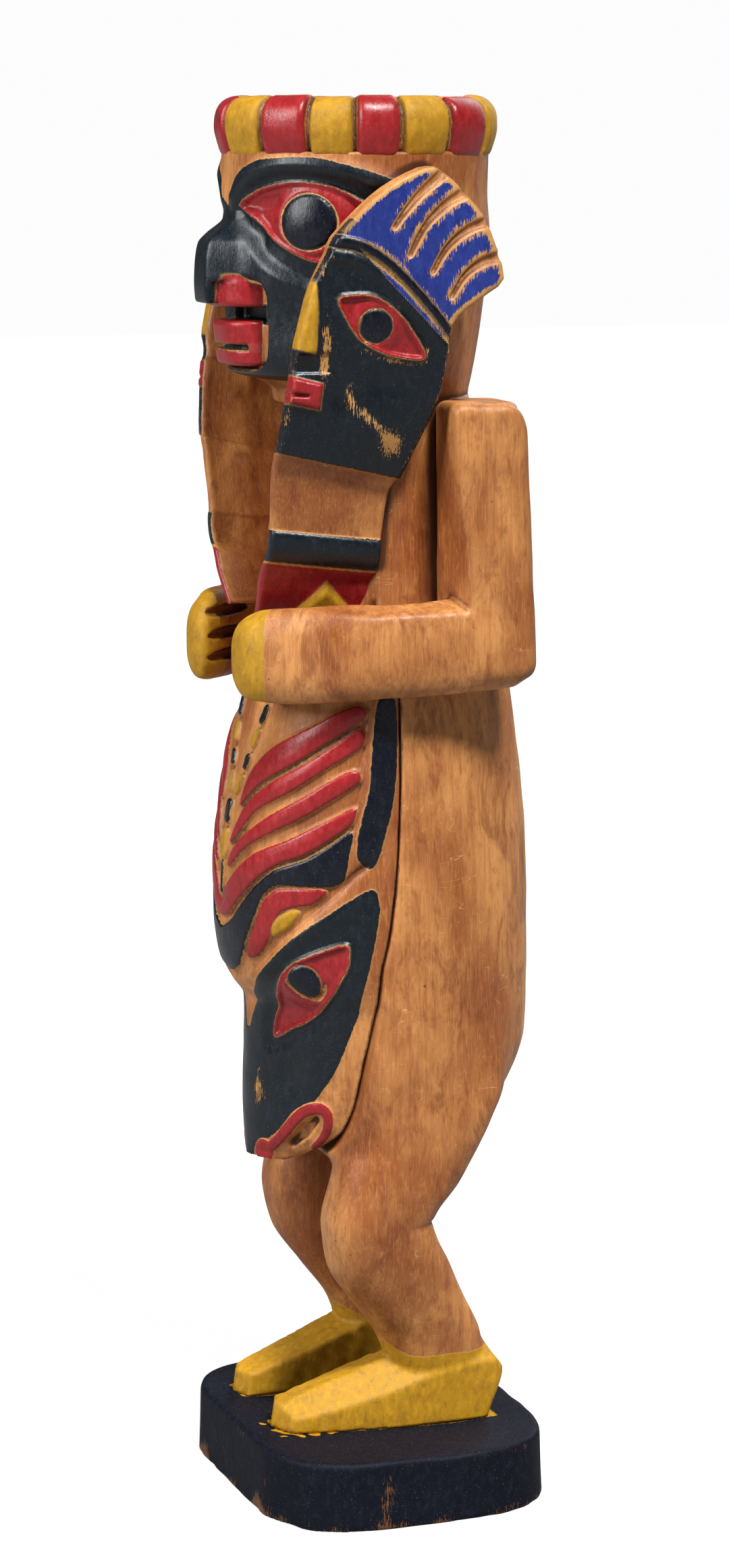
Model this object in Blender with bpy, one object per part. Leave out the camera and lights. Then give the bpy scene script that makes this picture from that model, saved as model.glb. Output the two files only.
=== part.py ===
"""A carved and painted standing crest figure, as an assembly of pegged wooden pieces.

Frame: metres, +Z up, origin at the centre of the base's underside. The figure faces -Y and its left
side is +X. Lengths below are millimetres and are scaled to metres when a mesh is made.
"""
import math

import bmesh
import bpy

MM = 0.001
GAP = 0.3
HOUSING_GAP = 0.8

# ---- driving dimensions (mm) ----
TOTAL_HEIGHT = 400.0
BASE_HALF_X = 52.6
BASE_HALF_Y = 43.2
FIGURE_SHIFT = (-6.0, 0.4, 0.0)  # the figure stands a little off the middle of its base
BASE_THICK = 19.7
BASE_FLARE = 0.8
BASE_ROUNDOVER = 2.5
BASE_EXPONENT = 3.7

SOLE_Z = BASE_THICK + GAP
NECK_Z = 316.0
HEAD_AXIS_Y = -1.8
HEAD_TOP_Z = 388.0
RING_BOTTOM_Z = 382.7
RING_RADIUS = 39.9
RING_INNER_RADIUS = 30.0

PANEL_BOTTOM_Z = 99.5
PANEL_TOP_Z = 233.0
PANEL_THICK = 7.0

BOARD_THICK = 7.5
ARM_TOP_Z = 316.5
ARM_INNER_X = 36.5
ARM_OUTER_X = 49.8
ARM_FRONT_Y = 9.6
ARM_BACK_Y = 36.0
ARM_TAPER = 4.0
ARM_LOW_Z = 240.0
HAND_TIP_Y = -45.6

FOOT_DOWEL_RADIUS = 4.0
HEAD_DOWEL_RADIUS = 7.0
RING_DOWEL_RADIUS = 6.0
SHOULDER_DOWEL_RADIUS = 3.5
PEG_RADIUS = 2.5
ROUND_SEGMENTS = 16

# ---- profiles, each row at one height (mm) ----
# z, half width, depth to the front, depth to the back
TRUNK_ROWS = [
    (102, 35.0, 25.0, 25.0), (108, 38.0, 29.0, 31.0), (118, 40.4, 32.5, 40.0), (132, 41.0, 35.0, 45.0),
    (150, 40.8, 38.0, 47.0), (170, 40.2, 41.0, 47.4), (190, 39.2, 41.0, 47.2), (208, 38.0, 38.0, 46.0),
    (222, 37.0, 34.5, 44.4), (236, 35.4, 29.0, 42.6), (248, 33.5, 23.0, 41.0), (262, 31.5, 18.5, 39.4),
    (280, 30.0, 17.0, 37.0), (298, 30.0, 17.5, 34.2), (NECK_Z, 31.0, 22.0, 31.4),
]
# z, front y, back y, inner x, outer x of one leg
LEG_ROWS = [
    (138, -2, 26, 12, 32), (120, -9.0, 32.6, 10.5, 38.0), (110, -12.6, 31.0, 11.0, 40.4),
    (100.5, -15.8, 26.0, 12.0, 40.6), (92, -18.4, 19.2, 12.8, 40.4), (84.5, -20.6, 12.0, 13.2, 40.0),
    (80.5, -21.2, 9.4, 13.2, 39.6), (76, -21.2, 10.8, 13.2, 39.0), (68, -18.8, 14.8, 12.8, 37.6),
    (55.5, -12.2, 20.6, 11.8, 34.8), (45, -5.0, 26.2, 11.0, 32.6), (36, -1.0, 29.0, 10.8, 31.4),
]
# y, top z, inner x, outer x of one foot, from heel to toe
FOOT_ROWS = [
    (33.0, 37.0, 15.0, 27.0), (30.0, 40.0, 12.0, 30.2), (16.0, 43.0, 11.2, 31.2), (4.0, 42.0, 11.0, 31.0),
    (-5.0, 38.4, 10.6, 30.4), (-16.0, 34.0, 10.2, 29.2), (-26.0, 30.0, 10.2, 27.2), (-31.6, 27.0, 12.0, 24.4),
]
# z, front y, back y, outer x at the front edge, outer x at the back edge of a mask board
BOARD_ROWS = [
    (261.2, -35.4, -4.0, 16.0, 29.8), (268, -36.4, -4.0, 20.5, 30.6), (279, -37.2, -4.0, 27.2, 32.4),
    (294, -37.7, -1.4, 32.4, 36.0), (303, -37.6, 2.4, 35.4, 39.8), (311, -37.5, 5.2, 37.8, 42.6),
    (319, -37.2, 7.4, 39.4, 44.6), (326, -36.2, 8.6, 40.0, 45.6), (333, -34.4, 9.0, 41.2, 46.4),
    (339, -32.2, 10.2, 42.2, 47.0), (346, -30.4, 17.0, 42.6, 47.4), (350, -29.0, 24.2, 42.8, 47.4),
    (356, -26.0, 23.0, 43.0, 47.2), (362, -22.8, 21.2, 43.2, 47.0), (368, -15.5, 18.0, 43.6, 46.8),
    (374, -7.6, 12.6, 44.0, 46.4), (378.5, -2.0, 7.0, 44.4, 46.0), (380.5, 0.6, 3.8, 44.6, 45.6),
]
# z, half width, depth to the front, rim y, roundness of the painted apron
PANEL_ROWS = [
    (PANEL_BOTTOM_Z, 24.0, 35.4, -20.0, 1.7), (106, 31.0, 35.8, -17.0, 1.7), (116, 35.0, 35.8, -14.0, 1.7),
    (130, 37.6, 35.2, -11.4, 1.72), (143, 39.2, 34.6, -9.4, 1.76), (148, 39.6, 37.6, -8.6, 1.85),
    (155, 39.9, 41.4, -7.4, 1.95), (168, 39.8, 43.0, -4.4, 2.0), (184, 39.2, 43.2, -2.2, 2.0),
    (198, 38.4, 42.4, -1.2, 2.0), (212, 37.6, 40.2, -0.6, 2.0), (224, 36.6, 37.4, -0.4, 2.0),
    (PANEL_TOP_Z, 36.0, 34.4, -0.4, 2.0),
]
# z, half width, depth to the front, depth to the back of the head, about its own axis
HEAD_ROWS = [
    (NECK_Z + GAP, 31.0, 22.0, 32.8), (320, 32.0, 25.0, 33.6), (323, 33.4, 35.0, 34.2), (328, 34.6, 38.5, 35.0),
    (345, 36.6, 39.6, 37.2), (362, 38.0, 38.8, 38.2), (RING_BOTTOM_Z - GAP, 38.9, 38.8, 38.7),
    (RING_BOTTOM_Z - GAP, 29.6, 29.6, 29.6), (HEAD_TOP_Z, 29.6, 29.6, 29.6),
]


def rgb(hex_colour):
    """Linear colour from a display hex string."""
    channels = [int(hex_colour[i:i + 2], 16) / 255 for i in (0, 2, 4)]
    return [c / 12.92 if c <= 0.04045 else ((c + 0.055) / 1.055) ** 2.4 for c in channels] + [1.0]


def paint(obj, hex_colour, roughness):
    material = bpy.data.materials.new(obj.name + "_finish")
    material.use_nodes = True
    shader = material.node_tree.nodes["Principled BSDF"]
    shader.inputs["Base Color"].default_value = rgb(hex_colour)
    shader.inputs["Roughness"].default_value = roughness
    shader.inputs["Metallic"].default_value = 0.0
    obj.data.materials.append(material)


def mesh_object(name, bm, origin=(0, 0, 0)):
    """An object from a bmesh in millimetres, with its origin at the given point."""
    bmesh.ops.recalc_face_normals(bm, faces=bm.faces)
    ox, oy, oz = origin
    for vert in bm.verts:
        vert.co = ((vert.co.x - ox) * MM, (vert.co.y - oy) * MM, (vert.co.z - oz) * MM)
    mesh = bpy.data.meshes.new(name)
    bm.to_mesh(mesh)
    bm.free()
    mesh.shade_smooth()
    mesh.set_sharp_from_angle(angle=math.radians(35))
    obj = bpy.data.objects.new(name, mesh)
    obj.location = (ox * MM, oy * MM, oz * MM)
    bpy.context.scene.collection.objects.link(obj)
    return obj


def loft(name, rings, origin=(0, 0, 0)):
    """A closed body through rings of equal point count, each end closed by a fan to its middle."""
    bm = bmesh.new()
    rows = [[bm.verts.new(p) for p in ring] for ring in rings]
    count = len(rings[0])
    for low, high in zip(rows, rows[1:]):
        for i in range(count):
            j = (i + 1) % count
            bm.faces.new((low[i], low[j], high[j], high[i]))
    for row in (rows[0], rows[-1]):
        middle = [sum(v.co[k] for v in row) / count for k in range(3)]
        centre = bm.verts.new(middle)
        for i in range(count):
            bm.faces.new((row[i], row[(i + 1) % count], centre))
    return mesh_object(name, bm, origin)


def signed_power(value, exponent):
    return math.copysign(abs(value) ** exponent, value)


def egg_ring(z, half_x, front, back, centre_y=0.0, exponent=2.0, count=40):
    """A level ring with separate depths to the front (-Y) and the back."""
    ring = []
    for i in range(count):
        angle = 2 * math.pi * (i + 0.5) / count
        x = half_x * signed_power(math.cos(angle), 2 / exponent)
        depth = back if math.sin(angle) > 0 else front
        y = centre_y + depth * signed_power(math.sin(angle), 2 / exponent)
        ring.append((x, y, z))
    return ring


def box_ring(low, high, level, plane, exponent=3.2, count=24):
    """A rounded-box ring in the plane 'xy' at height level, or 'xz' at depth level."""
    middle = [(a + b) / 2 for a, b in zip(low, high)]
    half = [(b - a) / 2 for a, b in zip(low, high)]
    ring = []
    for i in range(count):
        angle = 2 * math.pi * (i + 0.5) / count
        u = middle[0] + half[0] * signed_power(math.cos(angle), 2 / exponent)
        v = middle[1] + half[1] * signed_power(math.sin(angle), 2 / exponent)
        ring.append((u, v, level) if plane == "xy" else (u, level, v))
    return ring


def cylinder(name, start, end, radius):
    """A round peg between two points that differ along one axis."""
    axis = max(range(3), key=lambda k: abs(end[k] - start[k]))
    others = [k for k in range(3) if k != axis]
    rings = []
    for point in (start, end):
        ring = []
        for i in range(ROUND_SEGMENTS):
            angle = 2 * math.pi * i / ROUND_SEGMENTS
            p = list(point)
            p[others[0]] += radius * math.cos(angle)
            p[others[1]] += radius * math.sin(angle)
            ring.append(tuple(p))
        rings.append(ring)
    return loft(name, rings, origin=start)


def as_tool(obj):
    """Marks an object as a Boolean operand that isn't a piece of the figure."""
    obj.hide_render = True
    obj.display_type = "WIRE"
    return obj


def combine(target, operand, operation):
    modifier = target.modifiers.new(operand.name, "BOOLEAN")
    modifier.operation = operation
    modifier.object = operand
    modifier.solver = "EXACT"


def mirrored(ring, side):
    points = [(side * x, y, z) for x, y, z in ring]
    return points if side > 0 else points[::-1]


def peg_with_holes(name, start, end, radius, *holders):
    """A peg, and a hole with clearance for it in each piece that it joins."""
    peg = cylinder(name, start, end, radius)
    paint(peg, "b98a55", 0.7)
    axis = max(range(3), key=lambda k: abs(end[k] - start[k]))
    way = math.copysign(1.0, end[axis] - start[axis])
    hole_start, hole_end = list(start), list(end)
    hole_start[axis] -= way * GAP
    hole_end[axis] += way * GAP
    hole = as_tool(cylinder(name + "_hole", tuple(hole_start), tuple(hole_end), radius + GAP))
    for holder in holders:
        combine(holder, hole, "DIFFERENCE")
    return peg


def make_base():
    rings = []
    levels = [(0.0, BASE_FLARE), (BASE_THICK - BASE_ROUNDOVER, 0.0)]
    steps = 4
    for i in range(1, steps + 1):
        angle = math.pi / 2 * i / steps
        drop = BASE_ROUNDOVER * (1 - math.sin(angle))
        levels.append((BASE_THICK - drop, -BASE_ROUNDOVER * (1 - math.cos(angle))))
    for z, grow in levels:
        half_y = BASE_HALF_Y + grow
        rings.append(egg_ring(z, BASE_HALF_X + grow, half_y, half_y, 0.0, BASE_EXPONENT, 64))
    base = loft("base", rings)
    paint(base, "14182a", 0.45)
    return base


def make_body():
    trunk = [egg_ring(z, half_x, front, back) for z, half_x, front, back in TRUNK_ROWS]
    body = loft("body", trunk)
    paint(body, "a86f35", 0.55)
    for side, label in ((1, "left"), (-1, "right")):
        leg = [mirrored(box_ring((x0, y0), (x1, y1), z, "xy", 2.6), side) for z, y0, y1, x0, x1 in LEG_ROWS]
        combine(body, as_tool(loft("leg_" + label, leg)), "UNION")
        foot = [mirrored(box_ring((x0, SOLE_Z - 4.0), (x1, top), y, "xz", 3.4), side)
                for y, top, x0, x1 in FOOT_ROWS]
        combine(body, as_tool(loft("foot_" + label, foot)), "UNION")
        yoke = [mirrored(box_ring((20, 11), (ARM_INNER_X - GAP, 33), z, "xy", 4.0), side)
                for z in (292.0, 296.0, NECK_Z - 3, NECK_Z - 0.5)]
        combine(body, as_tool(loft("yoke_" + label, yoke)), "UNION")
    half = BASE_HALF_X + 10
    sole_cut = [box_ring((-half, -half), (half, half), z, "xy", 8.0) for z in (0.0, SOLE_Z)]
    combine(body, as_tool(loft("sole_cut", sole_cut)), "DIFFERENCE")
    return body


def panel_curve(half_x, front, rim_y, roundness, inset, grow, count=26):
    """Points across the apron from the right rim to the left one, inset from its outer surface."""
    a, b = half_x - inset, front - inset
    rim = max(-(rim_y + grow) / b, 0.0)
    start = math.asin(min(1.0, rim ** (roundness / 2)))
    curve = []
    for i in range(count):
        angle = math.pi - start - (math.pi - 2 * start) * i / (count - 1)
        x = a * signed_power(math.cos(angle), 2 / roundness)
        curve.append((x, -b * math.sin(angle) ** (2 / roundness)))
    return curve


def panel_rings(grow):
    """The apron's rings, or with grow > 0 those of the pocket that it sits in."""
    rings = []
    last = len(PANEL_ROWS) - 1
    for i, (z, half_x, front, rim_y, roundness) in enumerate(PANEL_ROWS):
        level = z - grow if i == 0 else z + grow if i == last else z
        outer_inset = -25.0 if grow else 0.0
        outer = panel_curve(half_x, front, rim_y, roundness, outer_inset, grow)
        inner = panel_curve(half_x, front, rim_y, roundness, PANEL_THICK + grow, grow)
        rings.append([(x, y, level) for x, y in outer] + [(x, y, level) for x, y in inner[::-1]])
    return rings


def make_front_panel(body):
    panel = loft("front_panel", panel_rings(0.0))
    paint(panel, "8e2a25", 0.5)
    combine(body, as_tool(loft("panel_pocket", panel_rings(HOUSING_GAP))), "DIFFERENCE")
    for label, z in (("upper", 205.0), ("lower", 150.0)):
        peg_with_holes("panel_peg_" + label, (0, -36.5, z), (0, -18, z), PEG_RADIUS, panel, body)
    return panel


def board_rings(side, grow):
    """Rings of one mask board, or with grow > 0 those of the housing cut for it."""
    rings = []
    last = len(BOARD_ROWS) - 1
    across = 12
    for i, (z, front, back, x_front, x_back) in enumerate(BOARD_ROWS):
        level = z - grow if i == 0 else z + grow if i == last else z
        outer, inner = [], []
        for k in range(across + 1):
            t = k / across
            y = front - grow + (back - front + 2 * grow) * t
            edge = 1.2 * (1 - math.sin(math.pi * t) ** 0.3)
            x = x_front + (x_back - x_front) * t + 1.2 * math.sin(math.pi * t)
            outer.append((x - edge + (30.0 if grow else 0.0), y, level))
            inner.append((x - BOARD_THICK - grow, y, level))
        rings.append(mirrored(outer + inner[::-1], side))
    return rings


def make_mask_board(side, label, body, head):
    board = loft("mask_board_" + label, board_rings(side, 0.0))
    paint(board, "1d2b2b", 0.5)
    housing = as_tool(loft("board_housing_" + label, board_rings(side, HOUSING_GAP)))
    combine(body, housing, "DIFFERENCE")
    combine(head, housing, "DIFFERENCE")
    start = (side * 41.0, -6.0, 352.0)
    peg_with_holes("mask_peg_" + label, start, (side * 25.0, -6.0, 352.0), PEG_RADIUS, board, head)
    return board


def make_head():
    rings = [egg_ring(z, half_x, front, back, HEAD_AXIS_Y) for z, half_x, front, back in HEAD_ROWS]
    head = loft("head", rings)
    paint(head, "26312f", 0.5)
    nose = [box_ring((-w, -y), (w, -20), z, "xy", 2.6)
            for z, w, y in ((343, 13, 46), (345, 14, 48), (352, 13.4, 48.4), (359, 11, 46.4), (365, 8, 42))]
    combine(head, as_tool(loft("nose", nose)), "UNION")
    for name, low, high, front in (("lip_upper", 340.0, 345.0, 45.4), ("lip_lower", 323.6, 335.0, 43.8)):
        lip = [box_ring((-15, -front), (15, -20), z, "xy", 2.6) for z in (low, high)]
        combine(head, as_tool(loft(name, lip)), "UNION")
    mouth = [box_ring((-17, -60), (17, -33), z, "xy", 3.0) for z in (335.2, 339.8)]
    combine(head, as_tool(loft("mouth", mouth)), "DIFFERENCE")
    return head


def make_head_ring(head):
    """The crown ring: a round-edged band with a recessed top."""
    section = [
        (RING_INNER_RADIUS, RING_BOTTOM_Z), (RING_RADIUS - 1.6, RING_BOTTOM_Z),
        (RING_RADIUS - 0.4, RING_BOTTOM_Z + 3), (RING_RADIUS, RING_BOTTOM_Z + 8.5),
        (RING_RADIUS - 0.8, TOTAL_HEIGHT - 3.4), (RING_RADIUS - 2.6, TOTAL_HEIGHT - 0.9),
        (RING_RADIUS - 5.2, TOTAL_HEIGHT), (RING_RADIUS - 7.8, TOTAL_HEIGHT - 1.0),
        (RING_INNER_RADIUS + 0.6, TOTAL_HEIGHT - 4.5), (0.0, TOTAL_HEIGHT - 5.0), (0.0, HEAD_TOP_Z + GAP),
        (RING_INNER_RADIUS, HEAD_TOP_Z + GAP),
    ]
    bm = bmesh.new()
    count = 48
    rows = []
    for radius, z in section:
        if radius == 0.0:
            rows.append([bm.verts.new((0, HEAD_AXIS_Y, z))])
            continue
        row = []
        for i in range(count):
            angle = 2 * math.pi * i / count
            row.append(bm.verts.new((radius * math.cos(angle), HEAD_AXIS_Y + radius * math.sin(angle), z)))
        rows.append(row)
    for k, low in enumerate(rows):
        high = rows[(k + 1) % len(rows)]
        if len(low) == 1 and len(high) == 1:
            continue
        for i in range(count):
            j = (i + 1) % count
            corners = [low[i % len(low)], low[j % len(low)], high[j % len(high)], high[i % len(high)]]
            bm.faces.new(list(dict.fromkeys(corners)))
    ring = mesh_object("head_ring", bm, (0, HEAD_AXIS_Y, RING_BOTTOM_Z))
    paint(ring, "b98d1c", 0.5)
    return ring


def forearm_rows():
    """y, inner x, outer x, low z, high z from elbow to fingertips."""
    return [
        (34.0, 38.0, 48.0, 242.0, 256.0), (30.0, 36.8, 49.6, 237.6, 260.0), (16.0, ARM_INNER_X, 49.8, 236.2, 260.8),
        (0.0, ARM_INNER_X, 49.0, 235.4, 260.4), (-12.0, 34.4, 47.4, 234.8, 260.2), (-22.0, 30.0, 43.8, 234.0, 260.0),
        (-30.0, 24.6, 39.4, 233.6, 259.8), (-37.0, 18.6, 34.6, 233.4, 259.8), (-42.0, 14.4, 30.0, 233.8, 259.4),
        (-44.6, 15.0, 26.2, 236.4, 257.0), (HAND_TIP_Y, 17.0, 23.6, 240.6, 253.0),
    ]


def make_arm(side, label, body):
    levels = [(ARM_LOW_Z, 1.4), (243.0, 0.0), (280.0, 0.0), (300.0, 0.3), (ARM_TOP_Z - 4, 0.8),
              (ARM_TOP_Z - 1.2, 2.2), (ARM_TOP_Z, 5.0)]
    levels = [(z, d, ARM_BACK_Y - ARM_TAPER * (z - ARM_LOW_Z) / (ARM_TOP_Z - ARM_LOW_Z)) for z, d in levels]
    upper = [mirrored(box_ring((ARM_INNER_X, ARM_FRONT_Y + d), (ARM_OUTER_X - d, back - d), z, "xy", 3.4),
                      side) for z, d, back in levels]
    arm = loft("arm_" + label, upper, (side * 43.0, 22.0, ARM_TOP_Z))
    paint(arm, "a86f35", 0.55)
    forearm = [mirrored(box_ring((x0, z0), (x1, z1), y, "xz", 2.8), side)
               for y, x0, x1, z0, z1 in forearm_rows()]
    combine(arm, as_tool(loft("forearm_" + label, forearm)), "UNION")
    start = (side * 44.0, 22.0, 306.0)
    peg_with_holes("shoulder_dowel_" + label, start, (side * 24.0, 22.0, 306.0), SHOULDER_DOWEL_RADIUS, arm, body)
    return arm


def main():
    for obj in list(bpy.data.objects):
        bpy.data.objects.remove(obj, do_unlink=True)
    base = make_base()
    stand = bpy.data.objects.new("figure_place", None)
    stand.location = [value * MM for value in FIGURE_SHIFT]
    bpy.context.scene.collection.objects.link(stand)
    body = make_body()
    head = make_head()
    ring = make_head_ring(head)
    make_front_panel(body)
    for side, label in ((1, "left"), (-1, "right")):
        make_mask_board(side, label, body, head)
        make_arm(side, label, body)
        peg_with_holes("foot_dowel_" + label, (side * 21.0, 12.0, 8.0), (side * 21.0, 12.0, 36.0),
                       FOOT_DOWEL_RADIUS, base, body)
    peg_with_holes("head_dowel", (0, 4, 296.0), (0, 4, 336.0), HEAD_DOWEL_RADIUS, body, head)
    peg_with_holes("ring_dowel", (0, HEAD_AXIS_Y, 374.0), (0, HEAD_AXIS_Y, 391.0), RING_DOWEL_RADIUS, head, ring)
    for obj in bpy.data.objects:
        if obj not in (base, stand):
            obj.parent = stand


main()
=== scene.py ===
"""Looks for the carved and painted crest figure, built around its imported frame.

Each carved piece is a signed distance field in millimetres, in the figure's own place: it faces -Y and its
left side is +X. Surface nets turn the field into a mesh. Painted areas are distances to their outlines,
stored on the vertices, and the material turns them into brushed, worn paint over wood.
"""
import math

import bpy
import numpy as np
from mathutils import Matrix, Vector


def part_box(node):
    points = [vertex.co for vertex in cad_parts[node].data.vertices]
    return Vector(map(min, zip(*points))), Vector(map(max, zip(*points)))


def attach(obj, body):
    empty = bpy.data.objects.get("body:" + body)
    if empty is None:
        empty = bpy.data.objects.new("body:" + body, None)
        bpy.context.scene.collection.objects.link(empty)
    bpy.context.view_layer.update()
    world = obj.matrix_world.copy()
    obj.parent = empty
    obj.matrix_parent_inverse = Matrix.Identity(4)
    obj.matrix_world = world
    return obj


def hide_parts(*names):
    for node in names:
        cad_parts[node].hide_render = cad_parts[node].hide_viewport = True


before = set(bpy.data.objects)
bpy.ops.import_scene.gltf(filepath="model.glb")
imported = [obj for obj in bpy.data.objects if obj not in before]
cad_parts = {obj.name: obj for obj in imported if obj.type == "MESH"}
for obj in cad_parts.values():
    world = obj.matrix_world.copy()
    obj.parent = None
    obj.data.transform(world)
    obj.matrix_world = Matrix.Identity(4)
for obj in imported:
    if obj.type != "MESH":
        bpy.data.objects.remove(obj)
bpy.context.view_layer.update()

MM = 0.001
HEAD_AXIS_Y = -1.8
TAU = 2 * math.pi
SNAP_ROUNDS = 2

def node_box(name):
    """A CAD node's lowest and highest corners in millimetres."""
    low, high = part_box(name)
    return np.array(low) / MM, np.array(high) / MM

RING_LOW, RING_HIGH = node_box("head_ring")
BASE_LOW, BASE_HIGH = node_box("base")
PLACE = np.array([(RING_LOW[0] + RING_HIGH[0]) / 2, (RING_LOW[1] + RING_HIGH[1]) / 2 - HEAD_AXIS_Y, 0.0])
SOLE_Z = BASE_HIGH[2]
RING_BOTTOM = RING_LOW[2]
RING_TOP = RING_HIGH[2]
RING_RADIUS = (RING_HIGH[0] - RING_LOW[0]) / 2
NECK_Z = node_box("head")[0][2]
PANEL_LOW, PANEL_HIGH = node_box("front_panel")[0][2], node_box("front_panel")[1][2]
DETAIL = 1.0

# ---------------------------------------------------------------- fields and charts

class Profile:
    """Smooth curves through rows of (position, value, value, ...), without overshoot."""

    def __init__(self, rows):
        data = np.array(rows, float)
        self.at = data[:, 0]
        self.value = data[:, 1:]
        gap = np.diff(self.at)[:, None]
        slope = np.diff(self.value, axis=0) / gap
        before, after = slope[:-1], slope[1:]
        mean = np.where(before * after > 0, 2 * before * after / (before + after + 1e-12), 0.0)
        self.tangent = np.vstack([slope[:1], mean, slope[-1:]])

    def __call__(self, position):
        place = np.clip(position, self.at[0], self.at[-1])
        i = np.clip(np.searchsorted(self.at, place) - 1, 0, len(self.at) - 2)
        gap = self.at[i + 1] - self.at[i]
        t = (place - self.at[i]) / gap
        rise = t * t * (3 - 2 * t)
        ease_in = t * (1 - t) ** 2 * gap
        ease_out = t * t * (t - 1) * gap
        columns = []
        for k in range(self.value.shape[1]):
            value, tangent = self.value[:, k], self.tangent[:, k]
            columns.append(value[i] * (1 - rise) + value[i + 1] * rise
                           + tangent[i] * ease_in + tangent[i + 1] * ease_out)
        return columns

def soft_min(a, b, width):
    """The smaller of two distances, rounded where they meet."""
    mix = np.clip(0.5 + 0.5 * (b - a) / width, 0, 1)
    return b + (a - b) * mix - width * mix * (1 - mix)

def soft_max(a, b, width):
    """The larger of two distances, rounded where they meet."""
    return -soft_min(-a, -b, width)

def ramp(value, low, high):
    """0 below low, 1 above high, with soft ends."""
    t = np.clip((value - low) / (high - low), 0, 1)
    return t * t * (3 - 2 * t)

def line(distance, width):
    """1 along a line, fading out on both sides of it."""
    return np.exp(-(distance / width) ** 2)

def moulding(distance, width):
    """A half-round rise, 1 along its middle and 0 at its edges."""
    return np.sqrt(np.clip(1 - (distance / width) ** 2, 0, 1))

def dabs(u, v, rows):
    """A sum of soft round patches, each (strength, middle u, middle v, half width, half height)."""
    return sum(k * line(u - u0, wide) * line(v - v0, tall) for k, u0, v0, wide, tall in rows)

def oval(u, v, half_u, half_v, exponent=2.0):
    """Rough distance to a superellipse about the origin."""
    reach = (np.abs(u / half_u) ** exponent + np.abs(v / half_v) ** exponent) ** (1 / exponent) + 1e-9
    radius = np.hypot(u, v)
    return radius - radius / reach

def stroke(u, v, points, widths):
    """Distance to a brush stroke through the points, whose half width changes along it."""
    best = np.full(np.shape(u), 1e3)
    for (u0, v0), (u1, v1), w0, w1 in zip(points, points[1:], widths, widths[1:]):
        du, dv = u1 - u0, v1 - v0
        t = np.clip(((u - u0) * du + (v - v0) * dv) / (du * du + dv * dv), 0, 1)
        best = np.minimum(best, np.hypot(u - u0 - t * du, v - v0 - t * dv) - (w0 + (w1 - w0) * t))
    return best

def outline(u, v, points):
    """Signed distance to a closed polygon, negative inside."""
    best = np.full(np.shape(u), 1e9)
    inside = np.zeros(np.shape(u), bool)
    for (u0, v0), (u1, v1) in zip(points, points[1:] + points[:1]):
        du, dv = u1 - u0, v1 - v0
        t = np.clip(((u - u0) * du + (v - v0) * dv) / (du * du + dv * dv), 0, 1)
        best = np.minimum(best, (u - u0 - t * du) ** 2 + (v - v0 - t * dv) ** 2)
        crosses = (v0 > v) != (v1 > v)
        if dv:
            inside ^= crosses & (u < u0 + (v - v0) / dv * du)
    return np.where(inside, -1, 1) * np.sqrt(best)

def curved(points, closed=False, steps=6):
    """A rounder line through the points (Catmull-Rom)."""
    count = len(points)
    result = []
    for i in range(count if closed else count - 1):
        if closed:
            p = [points[(i + k) % count] for k in (-1, 0, 1, 2)]
        else:
            p = [points[min(max(i + k, 0), count - 1)] for k in (-1, 0, 1, 2)]
        p = np.array(p, float)
        for step in range(steps):
            t = step / steps
            blend = np.array([-t + 2 * t * t - t ** 3, 2 - 5 * t * t + 3 * t ** 3,
                              t + 4 * t * t - 3 * t ** 3, -t * t + t ** 3]) / 2
            result.append(tuple(blend @ p))
    if not closed:
        result.append(tuple(points[-1]))
    return result

def hand_noise(u, v, scale, seed):
    """Smooth repeatable unevenness between about -1 and 1, as a knife leaves it."""
    total = np.zeros(np.shape(u))
    for k in range(4):
        angle = 2.4 * k + seed
        pitch = scale * (1 + 0.37 * k)
        total += np.sin((u * math.cos(angle) + v * math.sin(angle)) / pitch * TAU + 1.7 * k * seed + k)
    return total / 4

class Chart:
    """Named layers drawn once on a flat grid of (u, v) and read back smoothly anywhere."""

    def __init__(self, low, high, draw, pitch=0.25):
        self.low = low
        self.pitch = pitch * min(DETAIL, 1.6)
        count = [int((h - l) / self.pitch) + 2 for l, h in zip(low, high)]
        u = low[0] + self.pitch * np.arange(count[0])
        v = low[1] + self.pitch * np.arange(count[1])
        self.layers = draw(*np.meshgrid(u, v, indexing="ij"))

    def read(self, name, u, v):
        """A layer's value at any place, blended from the four grid points around it."""
        layer = self.layers[name]
        s = np.clip((u - self.low[0]) / self.pitch, 0, layer.shape[0] - 1.001)
        t = np.clip((v - self.low[1]) / self.pitch, 0, layer.shape[1] - 1.001)
        i, j = s.astype(int), t.astype(int)
        s, t = s - i, t - j
        near = layer[i, j] * (1 - t) + layer[i, j + 1] * t
        far = layer[i + 1, j] * (1 - t) + layer[i + 1, j + 1] * t
        return near * (1 - s) + far * s

# ---------------------------------------------------------------- meshing

def sample(field, low, count, step):
    """The field on a lattice: only the lattice points near the surface are worked out finely."""
    block = 4
    cells = [-(-n // block) for n in count]
    index = np.indices([n + 1 for n in cells]).reshape(3, -1).T
    coarse = field(*(low + index * (step * block)).T).reshape([n + 1 for n in cells])
    corners = [coarse[a:a + cells[0], b:b + cells[1], c:c + cells[2]]
               for a in (0, 1) for b in (0, 1) for c in (0, 1)]
    near = np.min([np.abs(corner) for corner in corners], axis=0) < step * block * 2.2
    for axis in range(3):
        near = near.repeat(block, axis)
        coarse = np.delete(coarse, -1, axis).repeat(block, axis)
    crop = tuple(slice(0, n) for n in count)
    near, values = near[crop], coarse[crop].copy()
    where = np.argwhere(near)
    values[near] = field(*(low + where * step).T)
    return values

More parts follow.
